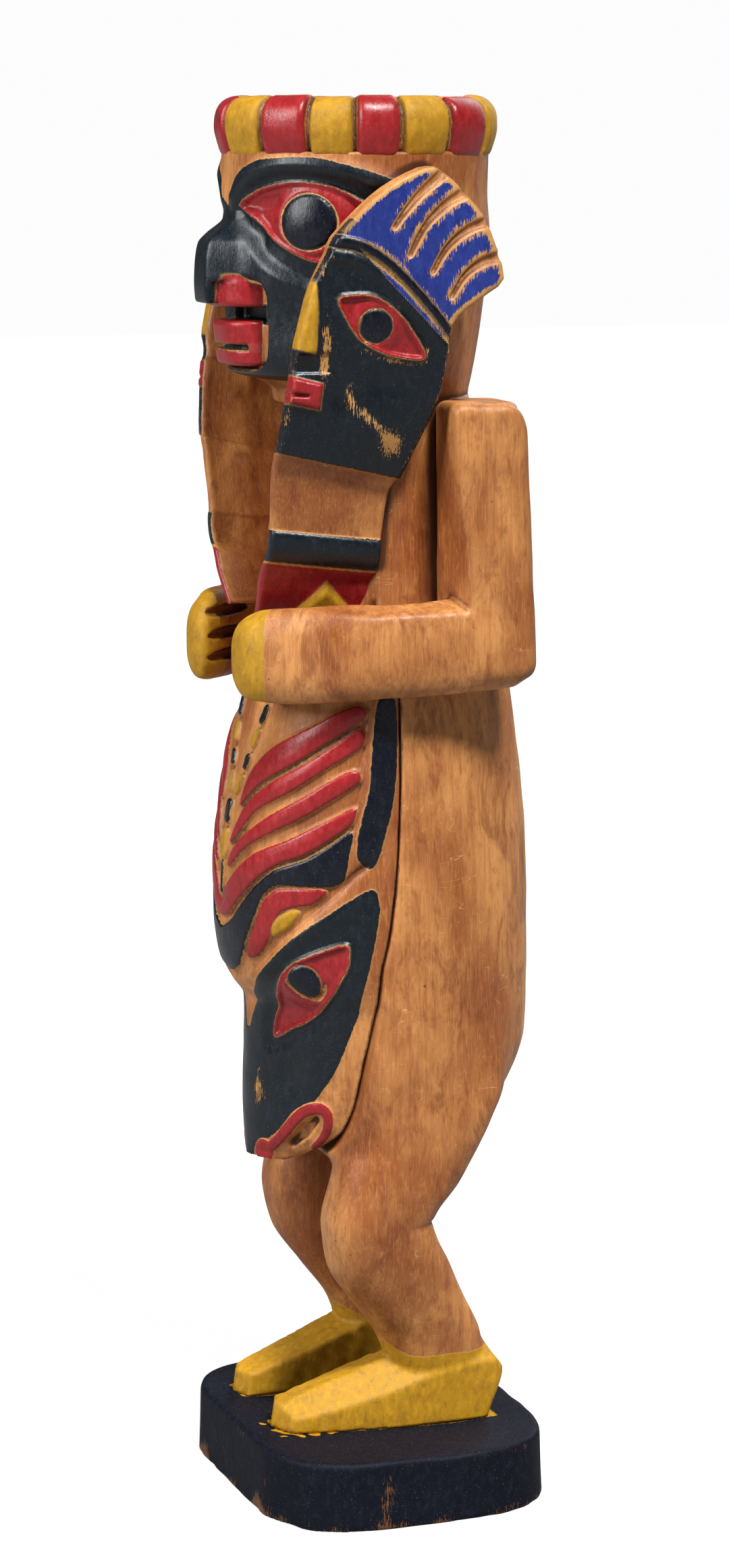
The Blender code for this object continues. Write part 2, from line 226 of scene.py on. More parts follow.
def surface_nets(values):
    """Vertices (in lattice units) and quads of the surface where the values change sign."""
    inside = values < 0
    shape = [n - 1 for n in values.shape]
    offsets = [(a, b, c) for a in (0, 1) for b in (0, 1) for c in (0, 1)]
    total = sum(inside[a:a + shape[0], b:b + shape[1], c:c + shape[2]].astype(np.int8) for a, b, c in offsets)
    cells = np.argwhere((total > 0) & (total < 8))
    number = np.full(shape, -1, np.int64)
    number[tuple(cells.T)] = np.arange(len(cells))
    corner = {o: values[cells[:, 0] + o[0], cells[:, 1] + o[1], cells[:, 2] + o[2]] for o in offsets}
    place = np.zeros((len(cells), 3))
    hits = np.zeros(len(cells))
    for a in offsets:
        for axis in range(3):
            if a[axis]:
                continue
            b = tuple(a[k] + (k == axis) for k in range(3))
            cut = (corner[a] < 0) != (corner[b] < 0)
            t = np.where(cut, corner[a] / np.where(cut, corner[a] - corner[b], 1), 0)
            point = np.array(a, float) + t[:, None] * np.eye(3)[axis]
            place += point * cut[:, None]
            hits += cut
    place = cells + place / hits[:, None]
    quads = []
    for axis in range(3):
        u, v = (axis + 1) % 3, (axis + 2) % 3
        first = [slice(0, n) for n in inside.shape]
        second = [slice(0, n) for n in inside.shape]
        first[axis], second[axis] = slice(0, -1), slice(1, None)
        start, end = inside[tuple(first)], inside[tuple(second)]
        for way in (True, False):
            edges = np.argwhere((start == way) & (end != way))
            edges = edges[(edges[:, u] > 0) & (edges[:, v] > 0)
                          & (edges[:, u] < shape[u]) & (edges[:, v] < shape[v])]
            ring = []
            for du, dv in ((1, 1), (0, 1), (0, 0), (1, 0)):
                cell = edges.copy()
                cell[:, u] -= du
                cell[:, v] -= dv
                ring.append(number[tuple(cell.T)])
            quad = np.stack(ring, 1)
            quads.append(quad if way else quad[:, ::-1])
    return place, np.concatenate(quads)

def slope_of(field, points, reach):
    """The field's gradient, by central differences."""
    parts = []
    for axis in range(3):
        shift = np.zeros(3)
        shift[axis] = reach
        parts.append(field(*(points + shift).T) - field(*(points - shift).T))
    return np.stack(parts, 1) / (2 * reach)

def carve(name, field, low, high, step, paints, around=None):
    """Meshes a field, snaps its vertices to the surface and stores paint and edge layers, and a layer for
    painted shade that rises where the surface is closed in.
    """
    step *= DETAIL
    low = np.array(low, float) - 2 * step
    count = [int(math.ceil((h + 2 * step - l) / step)) + 1 for l, h in zip(low, high)]
    place, quads = surface_nets(sample(field, low, count, step))
    points = low + place * step
    start = points.copy()
    for _ in range(SNAP_ROUNDS):
        slope = slope_of(field, points, 0.12)
        strength = np.maximum((slope ** 2).sum(1), 0.2)
        points = points - slope * (field(*points.T) / strength)[:, None]
        points = start + np.clip(points - start, -0.6 * step, 0.6 * step)
    used = np.unique(quads)
    renumber = np.full(len(points), -1)
    renumber[used] = np.arange(len(used))
    points, quads = points[used], renumber[quads]
    slope = slope_of(field, points, 0.4)
    normal = slope / np.maximum(np.linalg.norm(slope, axis=1), 1e-6)[:, None]
    layers = {
        # occlusion_shade: how closed in each point is by the carved pieces around it, which the materials
        # turn into painted shade
        "occlusion_shade": np.clip(1 - (around or field)(*(points + 2.5 * normal).T) / 2.5, 0, 1),
        "edge": np.clip(1 + field(*(points - 1.6 * normal).T) / 1.6, 0, 1),
    }
    layers.update(paints(*points.T))
    mesh = bpy.data.meshes.new(name)
    mesh.vertices.add(len(points))
    mesh.vertices.foreach_set("co", ((points + PLACE) * MM).astype(np.float32).ravel())
    mesh.loops.add(quads.size)
    mesh.loops.foreach_set("vertex_index", quads.ravel().astype(np.int32))
    mesh.polygons.add(len(quads))
    mesh.polygons.foreach_set("loop_start", np.arange(0, quads.size, 4, dtype=np.int32))
    mesh.update(calc_edges=True)
    mesh.validate()
    mesh.shade_smooth()
    for layer, values in layers.items():
        mesh.attributes.new(layer, "FLOAT", "POINT").data.foreach_set(
            "value", np.ascontiguousarray(np.broadcast_to(values, len(points)), dtype=np.float32))
    obj = bpy.data.objects.new(name, mesh)
    show(obj)
    return obj

def show(obj):
    """Links an object into the scene."""
    bpy.context.scene.collection.objects.link(obj)

def stand_for(obj, node, material):
    """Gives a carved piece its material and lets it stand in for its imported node."""
    obj.data.materials.append(material)
    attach(obj, "root")
    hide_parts(node)

# ---------------------------------------------------------------- materials

def display(red, green, blue):
    """A linear colour from display values of 0 to 255."""
    channels = [c / 255 for c in (red, green, blue)]
    return [c / 12.92 if c <= 0.04045 else ((c + 0.055) / 1.055) ** 2.4 for c in channels] + [1.0]

class Nodes:
    """Short names for building a node tree."""

    def __init__(self, name):
        self.material = bpy.data.materials.new(name)
        self.material.use_nodes = True
        self.tree = self.material.node_tree
        self.shader = self.tree.nodes["Principled BSDF"]

    def put(self, socket, value):
        if isinstance(value, bpy.types.NodeSocket):
            self.tree.links.new(value, socket)
        else:
            socket.default_value = value

    def math(self, operation, a, b=0.5):
        node = self.tree.nodes.new("ShaderNodeMath")
        node.operation = operation
        self.put(node.inputs[0], a)
        self.put(node.inputs[1], b)
        return node.outputs[0]

    def plus(self, a, b):
        return self.math("ADD", a, b)

    def times(self, a, b):
        return self.math("MULTIPLY", a, b)

    def mix(self, amount, a, b):
        node = self.tree.nodes.new("ShaderNodeMix")
        node.data_type = "RGBA"
        self.put(node.inputs["Factor"], amount)
        self.put(node.inputs[6], a)
        self.put(node.inputs[7], b)
        return node.outputs[2]

    def range(self, value, from_low, from_high, low=0.0, high=1.0):
        node = self.tree.nodes.new("ShaderNodeMapRange")
        node.interpolation_type = "SMOOTHSTEP"
        for k, v in enumerate((value, from_low, from_high, low, high)):
            self.put(node.inputs[k], v)
        return node.outputs[0]

    def tint(self, colour, layer, start, full, amount, display_colour):
        """The colour, turned towards another by up to the amount as the layer goes from start to full."""
        return self.mix(self.times(self.range(layer, start, full), amount), colour, display(*display_colour))

    def layer(self, name):
        """A value stored on the mesh's vertices."""
        node = self.tree.nodes.new("ShaderNodeAttribute")
        node.attribute_name = name
        return node.outputs["Fac"]

    def place(self, scale, shift=(0, 0, 0)):
        """The surface point in millimetres, stretched by a scale per axis."""
        source = self.tree.nodes.new("ShaderNodeTexCoord")
        mapping = self.tree.nodes.new("ShaderNodeMapping")
        self.put(mapping.inputs["Vector"], source.outputs["Object"])
        mapping.inputs["Scale"].default_value = [s / MM for s in scale]
        mapping.inputs["Location"].default_value = shift
        return mapping.outputs[0]

    def noise(self, scale, detail=3.0, roughness=0.5, distortion=0.0, shift=(0, 0, 0)):
        """Noise whose features repeat scale times per millimetre along each axis."""
        node = self.tree.nodes.new("ShaderNodeTexNoise")
        self.put(node.inputs["Vector"], self.place(scale, shift))
        node.inputs["Scale"].default_value = 1.0
        node.inputs["Detail"].default_value = detail
        node.inputs["Roughness"].default_value = roughness
        node.inputs["Distortion"].default_value = distortion
        return node.outputs["Fac"]

PAINT = {
    "black": display(9, 19, 27), "navy": display(5, 9, 24), "blue": display(34, 50, 126),
    "red": display(148, 28, 32), "yellow": display(178, 130, 8),
}
PALE_WOOD = display(204, 158, 88)

def wood_layers(n, seed):
    """Honey-brown wood with upright grain and painted shade in its hollows: its colour and its height."""
    shift = (seed * 3.1, seed * 5.7, seed * 2.3)
    cloud = n.noise((0.035, 0.035, 0.018), 3, 0.55, 0.4, shift)
    band = n.noise((0.62, 0.62, 0.022), 4, 0.65, 0.5, shift)
    fibre = n.noise((2.4, 2.4, 0.13), 4, 0.65, 0.0, shift)
    pores = n.noise((3.0, 3.0, 0.36), 2, 0.5, 0.0, shift)
    mottle = n.noise((0.50, 0.50, 0.20), 5, 0.7, 0.6, (4, seed, 8))
    smudge = n.noise((0.11, 0.11, 0.05), 5, 0.7, 0.8, (seed, 9 + seed, 4))
    specks = n.noise((0.55, 0.55, 0.45), 2, 0.5, 0.0, (7 + seed, 3, 1))
    wander = n.noise((0.03, 0.03, 0.11), 2, 0.4, 1.2, (seed, 1, 5))
    scratch = n.range(n.math("ABSOLUTE", n.math("SUBTRACT", wander, 0.5)), 0.0028, 0.0006)
    scratch = n.times(scratch, n.range(smudge, 0.52, 0.40))
    colour = n.mix(n.range(cloud, 0.34, 0.66), display(150, 85, 39), display(208, 143, 80))
    for tint in (
        (band, 0.44, 0.66, 0.34, (140, 70, 28)),
        (mottle, 0.50, 0.68, 0.40, (130, 60, 24)), (mottle, 0.46, 0.30, 0.26, (222, 154, 84)),
        (smudge, 0.47, 0.68, 0.60, (112, 46, 18)),
        (fibre, 0.48, 0.74, 0.30, (220, 162, 98)), (fibre, 0.44, 0.26, 0.30, (112, 58, 26)),
        (pores, 0.66, 0.78, 0.34, (226, 178, 118)), (specks, 0.735, 0.80, 0.7, (66, 30, 14)),
    ):
        colour = n.tint(colour, *tint)
    colour = n.mix(n.times(scratch, 0.45), colour, display(232, 192, 140))
    # painted shade: the wood turns dark brown where the surface is closed in by carving or by a neighbouring
    # piece
    colour = n.tint(colour, n.layer("occlusion_shade"), 0.10, 0.72, 0.86, (60, 24, 10))
    colour = n.tint(colour, n.layer("edge"), 0.35, 0.85, 0.32, (218, 160, 98))
    height = n.plus(n.times(fibre, 0.6), n.times(mottle, 0.7))
    return colour, height

def paint_coat(n, paint, seed, brush, dust):
    """The colour of one brushed and dusty coat of paint, with painted shade darkening it in hollows."""
    base = PAINT[paint]
    lighter = [min(1, c * 1.35 + 0.006) for c in base[:3]] + [1]
    darker = [c * 0.5 for c in base[:3]] + [1]
    coat = n.mix(n.range(brush, 0.46, 0.80), base, lighter)
    coat = n.mix(n.times(n.range(brush, 0.46, 0.28), 0.45), coat, darker)
    coat = n.tint(coat, dust, 0.64, 0.76, 0.12, (190, 184, 170))
    coat = n.tint(coat, n.range(n.layer("edge"), 0.35, 0.9), 0.2, 1.0, 0.08, (176, 150, 120))
    if paint == "yellow":
        grime = n.noise((0.22, 0.22, 0.22), 5, 0.7, 0.5, (2, seed, 2))
        coat = n.tint(coat, grime, 0.50, 0.70, 0.55, (140, 98, 30))
    # painted shade: the coat darkens where the surface is closed in
    return n.mix(n.times(n.range(n.layer("occlusion_shade"), 0.15, 0.75), 0.7), coat, darker)

def carved_finish(name, paints=(), seed=1.0, wear=1.0, gloss=0.46, matt=False):
    """Wood under brushed paint layers, each where its own distance layer is below zero."""
    n = Nodes(name)
    colour, height = wood_layers(n, seed)
    if matt:
        colour = n.mix(0.85, colour, display(84, 54, 34))
    roughness = n.range(n.noise((0.4, 0.4, 0.14), 4), 0.32, 0.72, 0.36, 0.58)
    if paints:
        ragged = n.noise((0.9, 0.9, 0.55), 3, 0.6, 0.0, (seed, 2, 7))
        streak = n.noise((2.6, 2.6, 0.36), 4, 0.7, 0.0, (5, seed, 1))
        patch = n.noise((0.09, 0.09, 0.07), 3, 0.6, 0.6, (2, 8, seed))
        brush = n.noise((0.55, 0.55, 0.30), 4, 0.6, 0.3, (3, 1, seed))
        dust = n.noise((2.6, 2.6, 2.2), 2, 0.5, 0.0, (6, seed, 6))
        grain = n.noise((1.5, 1.5, 0.9), 4, 0.7, 0.0, (9, seed, 3))
        rubbed = n.plus(n.times(patch, 0.45 * wear), n.times(streak, 0.86))
        rubbed = n.plus(rubbed, n.times(n.range(n.layer("edge"), 0.35, 0.9), 0.10 * wear))
        rubbed = n.plus(rubbed, n.times(n.layer("worn"), 0.34))
        covered, dull = 0.0, 0.0
        for paint in paints:
            reach = n.plus(n.layer(paint), n.times(n.math("SUBTRACT", ragged, 0.5), 0.9))
            scrubbed = rubbed
            if paint == "blue":
                scrubbed = n.plus(rubbed, n.range(n.layer(paint), -2.6, -0.2, 0.0, 0.24))
            mask = n.times(n.range(reach, 0.10, -0.10), n.range(scrubbed, 0.935, 0.895))
            colour = n.mix(n.times(n.range(reach, 0.7, -0.3), 0.05 if matt else 0.55), colour, PALE_WOOD)
            colour = n.mix(mask, colour, paint_coat(n, paint, seed, brush, dust))
            if paint == "yellow" or matt:
                dull = n.math("MAXIMUM", dull, mask)
            covered = n.math("MAXIMUM", covered, mask)
        sheen = n.plus(n.range(brush, 0.3, 0.7, 0.25, 0.38), n.times(dull, 0.32))
        roughness = n.plus(n.times(covered, sheen), n.times(n.math("SUBTRACT", 1.0, covered), roughness))
        relief = n.plus(n.plus(n.times(brush, 0.7), n.times(grain, 0.55)), 0.30)
        height = n.plus(n.times(height, n.range(covered, 0, 1, 1.0, 0.45)), n.times(covered, relief))
    n.put(n.shader.inputs["Roughness"], roughness)
    n.put(n.shader.inputs["Base Color"], colour)
    n.shader.inputs["Specular IOR Level"].default_value = gloss
    bump = n.tree.nodes.new("ShaderNodeBump")
    bump.inputs["Strength"].default_value = 0.5
    bump.inputs["Distance"].default_value = 0.25 * MM
    n.put(bump.inputs["Height"], height)
    n.put(n.shader.inputs["Normal"], bump.outputs[0])
    return n.material

# ---------------------------------------------------------------- the pieces

TRUNK = Profile([
    # z, half width, depth to the front, depth to the back
    (102, 35, 25, 26), (108, 38, 29, 34.2), (118, 40.4, 32.5, 43.2), (132, 41.2, 35, 48.6),
    (150, 41, 38, 49), (170, 40.4, 41, 49), (190, 39.2, 41, 48.4), (208, 38, 38, 46.8),
    (222, 37, 34.5, 45), (236, 35.4, 27, 43), (248, 32.6, 19, 41), (262, 30.6, 16, 39.4),
    (280, 30, 16, 37), (298, 30, 17, 34.2), (316, 31, 22, 31.4),
])
LEG = Profile([
    # z, front y, back y, inner x, outer x
    (36, 0.8, 29.4, 10.8, 31.4), (45, -2.8, 27.6, 11, 32.6), (55.5, -10.4, 22.4, 11.8, 34.8),
    (68, -18.6, 16.4, 12.8, 37.6), (76, -20.4, 12.2, 13.2, 39), (80.5, -20.8, 10.8, 13.2, 39.6),
    (84.5, -20.4, 12.4, 13.2, 40), (92, -18.4, 18.6, 12.8, 40.4), (100.5, -15.8, 23.8, 12, 40.6),
    (110, -12.6, 29, 11, 40.4), (120, -9, 33, 10.5, 38.4), (138, -2, 30, 12, 34),
])
FOOT = Profile([
    # y, top z, shoulder z, inner x, outer x
    (-33.5, 27, 23.2, 11.8, 24.4), (-30, 28.4, 24, 10.4, 26.4), (-22, 31.4, 25.6, 10.2, 28.4),
    (-10, 35.8, 28.6, 10.4, 30.2), (0, 39.4, 31.4, 11, 31.4), (8, 41.4, 34, 11.2, 31.8),
    (30, 43, 37, 11.6, 31), (35, 41, 36, 13, 29),
])
HEEL = Profile([(19, 28), (24, 29.8), (29, 32), (33.5, 33.4), (38, 30.6), (46, 26.4)])
HEAD = Profile([
    # z, half width, depth to the front, depth to the back
    (312, 31, 22, 31.6), (318, 31.4, 23, 32.2), (321, 32.2, 28, 32.8), (323.5, 33.2, 36, 33.2),
    (328, 34.2, 38.5, 34), (345, 36.2, 39.4, 36.4), (362, 37.6, 38.6, 37.8), (374, 37.6, 37.6, 37),
    (383, 37.8, 37.8, 37.4),
])
NOSE = Profile([
    # z, half width at the tip, front y
    (342.4, 5.2, 47.4), (344, 5.4, 48), (349, 5.4, 48.3), (353, 5.2, 48.2), (357, 5, 47.8),
    (359.6, 4.8, 47.2), (362.2, 4.4, 44.9), (364, 4, 42.6), (367, 3.4, 38.6),
])
BOARD_FACE = Profile([
    # z, x at the front edge, x at the back edge of the painted face
    (256, 16.6, 31.6), (262, 21.4, 32), (268, 25.6, 32.4), (279, 30.4, 33.8), (294, 34, 37),
    (303, 36.4, 40.4), (311, 38.4, 42.8), (319, 39.8, 44.8), (326, 40.4, 45.8), (333, 41.2, 46.4),
    (346, 42.2, 47.2), (362, 43.2, 47), (382, 44.4, 45.8),
])
BOARD_OUTLINE = [
    # y, z, from the front lower corner round over the hair fan
    (-35.2, 256.4), (-36.4, 256.4), (-36.4, 257.6), (-37.4, 266), (-37.2, 275), (-36.9, 284), (-37.2, 292),
    (-37.4, 303), (-36.6, 311), (-35.6, 320), (-34.6, 327), (-34, 333.5), (-31, 345.5),
    (-28.6, 351.5), (-25.4, 357.6), (-23.6, 362),
    (-16.5, 369.5), (-9.5, 375.2), (-2, 379.2), (4.2, 380.9), (8.6, 378.2), (12.8, 374.2), (18.6, 367.2),
    (21.8, 359.6), (24.4, 350.4), (19.6, 346.4), (13.6, 342.4), (9.4, 337.6), (8.6, 331), (7.8, 324),
    (6.4, 317), (3.6, 309.4), (0.4, 301.6), (-2.2, 295.2), (-4, 292.4), (-5.2, 281), (-5.8, 268),
    (-5.8, 257.6), (-5.8, 256.4), (-7, 256.4),
]
PANEL = Profile([
    # z, half width, depth to the front, rim y, roundness
    (99.5, 24, 35.4, -19, 1.7), (106, 31, 35.8, -16, 1.7), (116, 35, 35.8, -13.4, 1.7),
    (130, 37.6, 35.2, -11.4, 1.72), (143, 39.2, 34.8, -9.4, 1.78), (148, 39.6, 38.2, -8.6, 1.85),
    (155, 39.9, 42.2, -8.2, 1.95), (168, 39.8, 43.4, -5.6, 2.1), (184, 39.2, 43.1, -3.6, 2.18),
    (198, 38.4, 41.4, -2.6, 2.28), (212, 37.6, 38.1, -2, 2.62), (224, 36.6, 35.1, -1.8, 2.72),
    (236, 36, 31.4, -1.8, 2.8),
])
FOREARM = Profile([
    # y, inner x, outer x, low z, high z
    (-45.4, 17, 23.6, 241, 249), (-44.6, 15, 26.4, 237, 253), (-42, 14, 30, 234, 256.4),
    (-37, 18.2, 34.8, 233.2, 259.4), (-30, 24.2, 39.6, 233.4, 260), (-22, 29.6, 44, 234, 260.2),
    (-12, 34.4, 47.6, 234.8, 260.4), (0, 36.5, 49.2, 235.2, 260.6), (16, 36.5, 49.8, 235.8, 261),
    (28, 36.6, 49.6, 236.6, 261), (33, 37.4, 48.8, 239, 259), (35.4, 40, 46.4, 243, 255),
])
ARM_X = (36.5, 49.8)
ARM_FRONT = 9.8
CHEST_X = 28.8
ARM_TOP = 316.5
ELBOW_Z = 240.0
FINGER_SLOTS = (240.8, 247.2, 253.6)
FINGER_Y = -33.5
ANKLE_Z = 40.4
ELBOW_BACK = 35.0

def leg_field(x, y, z):
    """The bent leg on the side of +x."""
    front, back, inner, outer = LEG(z)
    d = oval(x - (inner + outer) / 2, y - (front + back) / 2, (outer - inner) / 2, (back - front) / 2, 2.7)
    d = soft_max(d, 34.0 - z, 3.0)
    return soft_max(d, z - 140.0, 4.0)

def foot_field(x, y, z):
    """The faceted foot on the side of +x, with its ridge towards the outside."""
    top, shoulder, inner, outer = FOOT(y)
    ridge = inner + (outer - inner) * 0.62
    fall = np.where(x > ridge, (x - ridge) / (outer - ridge), 0.34 * (ridge - x) / (ridge - inner))
    roof = top - (top - shoulder) * np.clip(fall, 0, 1.4)
    middle, half = (inner + outer) / 2, (outer - inner) / 2
    d = soft_max(np.abs(x - middle) - half, (z - roof) * 0.86, 0.5)
    d = soft_max(d, y - HEEL(z)[0], 1.5)
    facet = np.abs(x - 17.4) * 0.42 + (z - SOLE_Z) * 0.14
    d = soft_max(d, (-34.6 - y) + facet, 0.4)
    return d + 0.22 * hand_noise(y, x + z, 3.6, 4.4) * ramp(inner + 3.0 - x, 0, 2)

def body_field(x, y, z):
    """Trunk, shoulders, legs and feet, cut away behind the boards and the apron."""
    side = np.abs(x)
    a, front, back = TRUNK(z)
    step_in = ramp(z, 314.2, 314.8) * 1.0
    d = oval(x, y, a - step_in, np.where(y < 0, front, back) - step_in)
    d = soft_max(d, 100.0 - z, 5.0)
    d = soft_max(d, z - 317.0, 1.0)
    armpit = np.hypot(side - CHEST_X - 1.6, y - ARM_FRONT + 0.6)
    d = d + 2.4 * line(armpit, 2.6) * ramp(z, 255.0, 262.0) * ramp(-z, -318.0, -306.0)
    shoulder = oval(side - 27.0, y - 25.0, 12.0, 9.5, 3.5)
    shoulder = soft_max(soft_max(shoulder, z - (ARM_TOP - 0.8), 3.0), 288.0 - z, 8.0)
    d = soft_min(d, shoulder, 1.5)
    d = soft_min(d, leg_field(side, y, z), 5.0)
    d = soft_min(d, foot_field(side, y, z), 1.2)
    d = d + 0.16 * hand_noise(y + x, z, 17.0, 1.3) + 0.06 * hand_noise(x - y, z * 0.6, 6.0, 2.1)
    shell, rim, _ = apron_place(x, y, z)
    beside = np.maximum.reduce([board_face(y, z)[0] - 2.2 - side, y + 5.9, 254.0 - z, z - 310.0])
    d = soft_max(d, -beside, 0.5)
    housing = np.maximum.reduce([y - rim - 0.2, -shell - 6.9, z - APRON_TOP - 0.3, PANEL_LOW - 6.0 - z])
    d = soft_max(d, -housing, 0.5)
    knee_crease = z - 81.0 - (y - 9.0) * 0.10
    d = d + 0.7 * line(knee_crease, 0.8) * ramp(y, -2.0, 7.0) * ramp(side, 20.0, 26.0)
    return soft_max(d, SOLE_Z + 0.05 - z, 0.3)

def body_paints(x, y, z):
    """Yellow feet, up to a slanting line at the ankle."""
    ankle = ANKLE_Z + 4.2 * ramp(-y, -6.0, 5.0) + 0.3 * hand_noise(x, y, 9.0, 4.0)
    return {"yellow": z - ankle}

def arm_field(x, y, z):
    """Upper arm, forearm and hand on the side of +x."""
    back = 36.2 - 4.0 * (z - ELBOW_Z) / (ARM_TOP - ELBOW_Z)
    low, high = ARM_X
    tilt = 0.23 * ramp(-z, -314.0, -258.0)
    front = (ARM_FRONT + (x - CHEST_X) * np.tan(tilt) - y) * np.cos(tilt)
    inner = CHEST_X + (low - CHEST_X) * ramp(-z, -258.0, -246.0)
    d = soft_max(x - high + 0.004 * (y - 24.0) ** 2, y - back, 7.0)
    d = soft_max(soft_max(d, front + 1.8 * line(x - CHEST_X, 3.0), 1.8), inner - x, 0.8)
    d = soft_max(d, z - ARM_TOP + 0.02 * (y - 22.0) + 0.004 * (x - 42.0) ** 2, 3.2)
    corner = (z - ARM_TOP) * 0.68 + (y - back) * 0.73 + 2.6
    d = soft_max(d, corner, 4.0)
    d = soft_max(d, 238.0 - z, 6.0)
    x0, x1, z0, z1 = FOREARM(y)
    rise = ramp(y, -34.0, -10.0)
    z1 = z1 + 2.6 * rise
    fore = oval(x - (x0 + x1) / 2, z - (z0 + z1) / 2, (x1 - x0) / 2, (z1 - z0) / 2, 2.7)
    fore = soft_max(fore, (z - z1 + 0.36 * rise * (x - x0)) * 0.95, 1.2)
    fore = soft_max(fore, -45.4 - y, 3.2)
    fore = soft_max(fore, y - ELBOW_BACK, 6.0)
    fore = fore + dabs(x, y, [(1.0, 39.0, -4.0, 7.0, 15.0)]) * ramp(z, 252.0, 257.0)
    d = soft_min(d, fore, 0.9)
    d = d + 0.15 * hand_noise(y + x, z, 15.0, 3.3) + 0.05 * hand_noise(x + y, z * 0.7, 5.0, 0.7)
    along = np.clip((y - FINGER_Y) / 8.4, -1.3, 1.3)
    for level in FINGER_SLOTS:
        opening = 1.75 * moulding(along, 1) - np.abs(z - level)
        d = np.maximum(d, np.minimum(np.minimum(opening, 1.5), x0 + 3.2 - x))
    return d

def arm_paints(x, y, z):
    """A yellow hand in front of the wrist, bare inside the finger slots."""
    side = np.abs(x)
    wrist = ((y + 34.4) + 0.7 * (side - 23.0)) * 0.82
    slot = np.full(np.shape(x), 9.0)
    along = np.clip((y - FINGER_Y) / 8.0, -1.4, 1.4)
    x0 = FOREARM(y)[0]
    for level in FINGER_SLOTS:
        lens = np.abs(z - level) - 1.6 * moulding(along, 1)
        slot = np.minimum(slot, np.maximum(lens, side - x0 - 7.0))
    bare = np.where(np.abs(along) < 1, -slot - 0.2, -9.0)
    return {"yellow": np.maximum(wrist, bare)}

# ---- head

EYE = curved([(7.4, 369.8), (13.6, 373.6), (20.5, 375.4), (28.5, 376.4), (38, 375.6), (46.5, 372.4),
              (54.5, 366.4), (50, 360.4), (43, 356.4), (36, 354.8), (30, 356.4), (21.6, 360.8),
              (14, 366.2)], True, 3)
PUPIL = (32.9, 365.7, 7.7)
BROW_TOP = Profile([(0, 369.6), (3, 372.5), (6, 377.4), (12, 380.8), (18.5, 382.6), (33, 383.2),
                    (47.5, 380.4), (55.5, 377.8), (60, 376)])
# low z, high z, front, half width of the upper and the lower lip; the slot's z, half height, |x|, half width
LIPS = ((341.9, 350.2, 44.6, 14.4), (325.6, 338.2, 43.2, 13.6))
LIP_SLOT = (330.8, 0.75, 5.4, 5.8)
HEAD_DEGREE = 0.668  # millimetres round the face per degree
NOSE_TIP_LOW = 342.6
NOSE_WING_LOW = 349.6
NOSE_ROOT = 369.0

def draw_head(s, z):
    """The crest face's relief and paint; s is the distance round the head from its middle."""
    eye = outline(s, z, EYE)
    pupil = np.hypot((s - PUPIL[0]) * 0.89, z - PUPIL[1]) - PUPIL[2]
    corner = outline(s, z, [(9.0, 369.6), (15.0, 372.4), (24.6, 374.0), (23.0, 368.4), (15.0, 367.4)])
    socket = outline(s, z, curved([(5.5, 369.0), (16, 378.2), (30, 380.4), (46, 377.2), (60, 366), (52, 352),
                                   (36, 347.5), (22, 352.0), (12, 360.0)], True, 3))
    recess = oval(s, z - 337.6, 19.8, 13.2, 5.0)
    ball = np.clip(1 - (np.hypot(s - 33.5, (z - 365.6) * 1.15) / 14.0) ** 2, 0, 1)
    height = -1.9 * ramp(-socket, -1.2, 3.2)
    height += 0.9 * ramp(-eye, -0.9, 0.15) - 1.4 * ramp(-eye, 0.1, 1.6)
    height += 2.7 * ball * ramp(-eye, 0.2, 2.0)
    height += -0.55 * line(pupil + 0.1, 0.42) - 0.9 * ramp(-corner, -0.2, 1.4)
    ridge = curved([(4.0, 372.4), (10, 377.0), (20, 379.8), (33, 380.6), (47, 378.6), (57, 375.0)])
    height += 1.3 * ramp(-stroke(s, z, ridge, [0.8] * len(ridge)), -4.2, 1.0)
    height += dabs(s, z, [(-1.7, 30, 342, 9.5, 9.0), (1.2, 45, 338, 7.0, 11.0), (-1.0, 16.5, 362, 3.4, 5.5)])
    height += -3.6 * ramp(-recess, -0.2, 0.7)
    black = np.maximum.reduce([z - BROW_TOP(s)[0], 321.6 - z, s - 57.0, -recess - 0.9, -eye])
    return {"height": height, "red": np.maximum(eye, 0.3 - pupil), "navy": pupil, "black": black}

HEAD_CHART = Chart((0.0, 312.0), (62.0, 384.0), draw_head)

def lip_slot(x, z):
    """The narrow opening cut through the lower lip."""
    level, tall, middle, wide = LIP_SLOT
    return np.maximum(np.abs(z - level) - tall, np.abs(np.abs(x) - middle) - wide)

def lip_field(x, y, z):
    """Both lips: the upper one arched, the lower one leaning and slotted."""
    d = np.full(np.shape(x), 50.0)
    for k, (low, high, front, half) in enumerate(LIPS):
        lean = 0.14 * (high - z) if k else 0.0
        section = oval(x, y + 26.0 - lean, half, front - 26.0, 3.0)
        arch = 0.0 if k else 3.6 * ramp(np.abs(np.abs(x) - 9.4), 1.0, 6.5)
        block = soft_max(section, np.maximum(z - high + arch, low - z), 1.6)
        if k == 1:
            block = np.maximum(block, -np.maximum(lip_slot(x, z), -(section + 2.6)))
        d = np.minimum(d, block)
    return d

def round_head(x, y):
    """The distance round the head from the middle of the face."""
    return np.abs(np.degrees(np.arctan2(x, -(y - HEAD_AXIS_Y)))) * HEAD_DEGREE

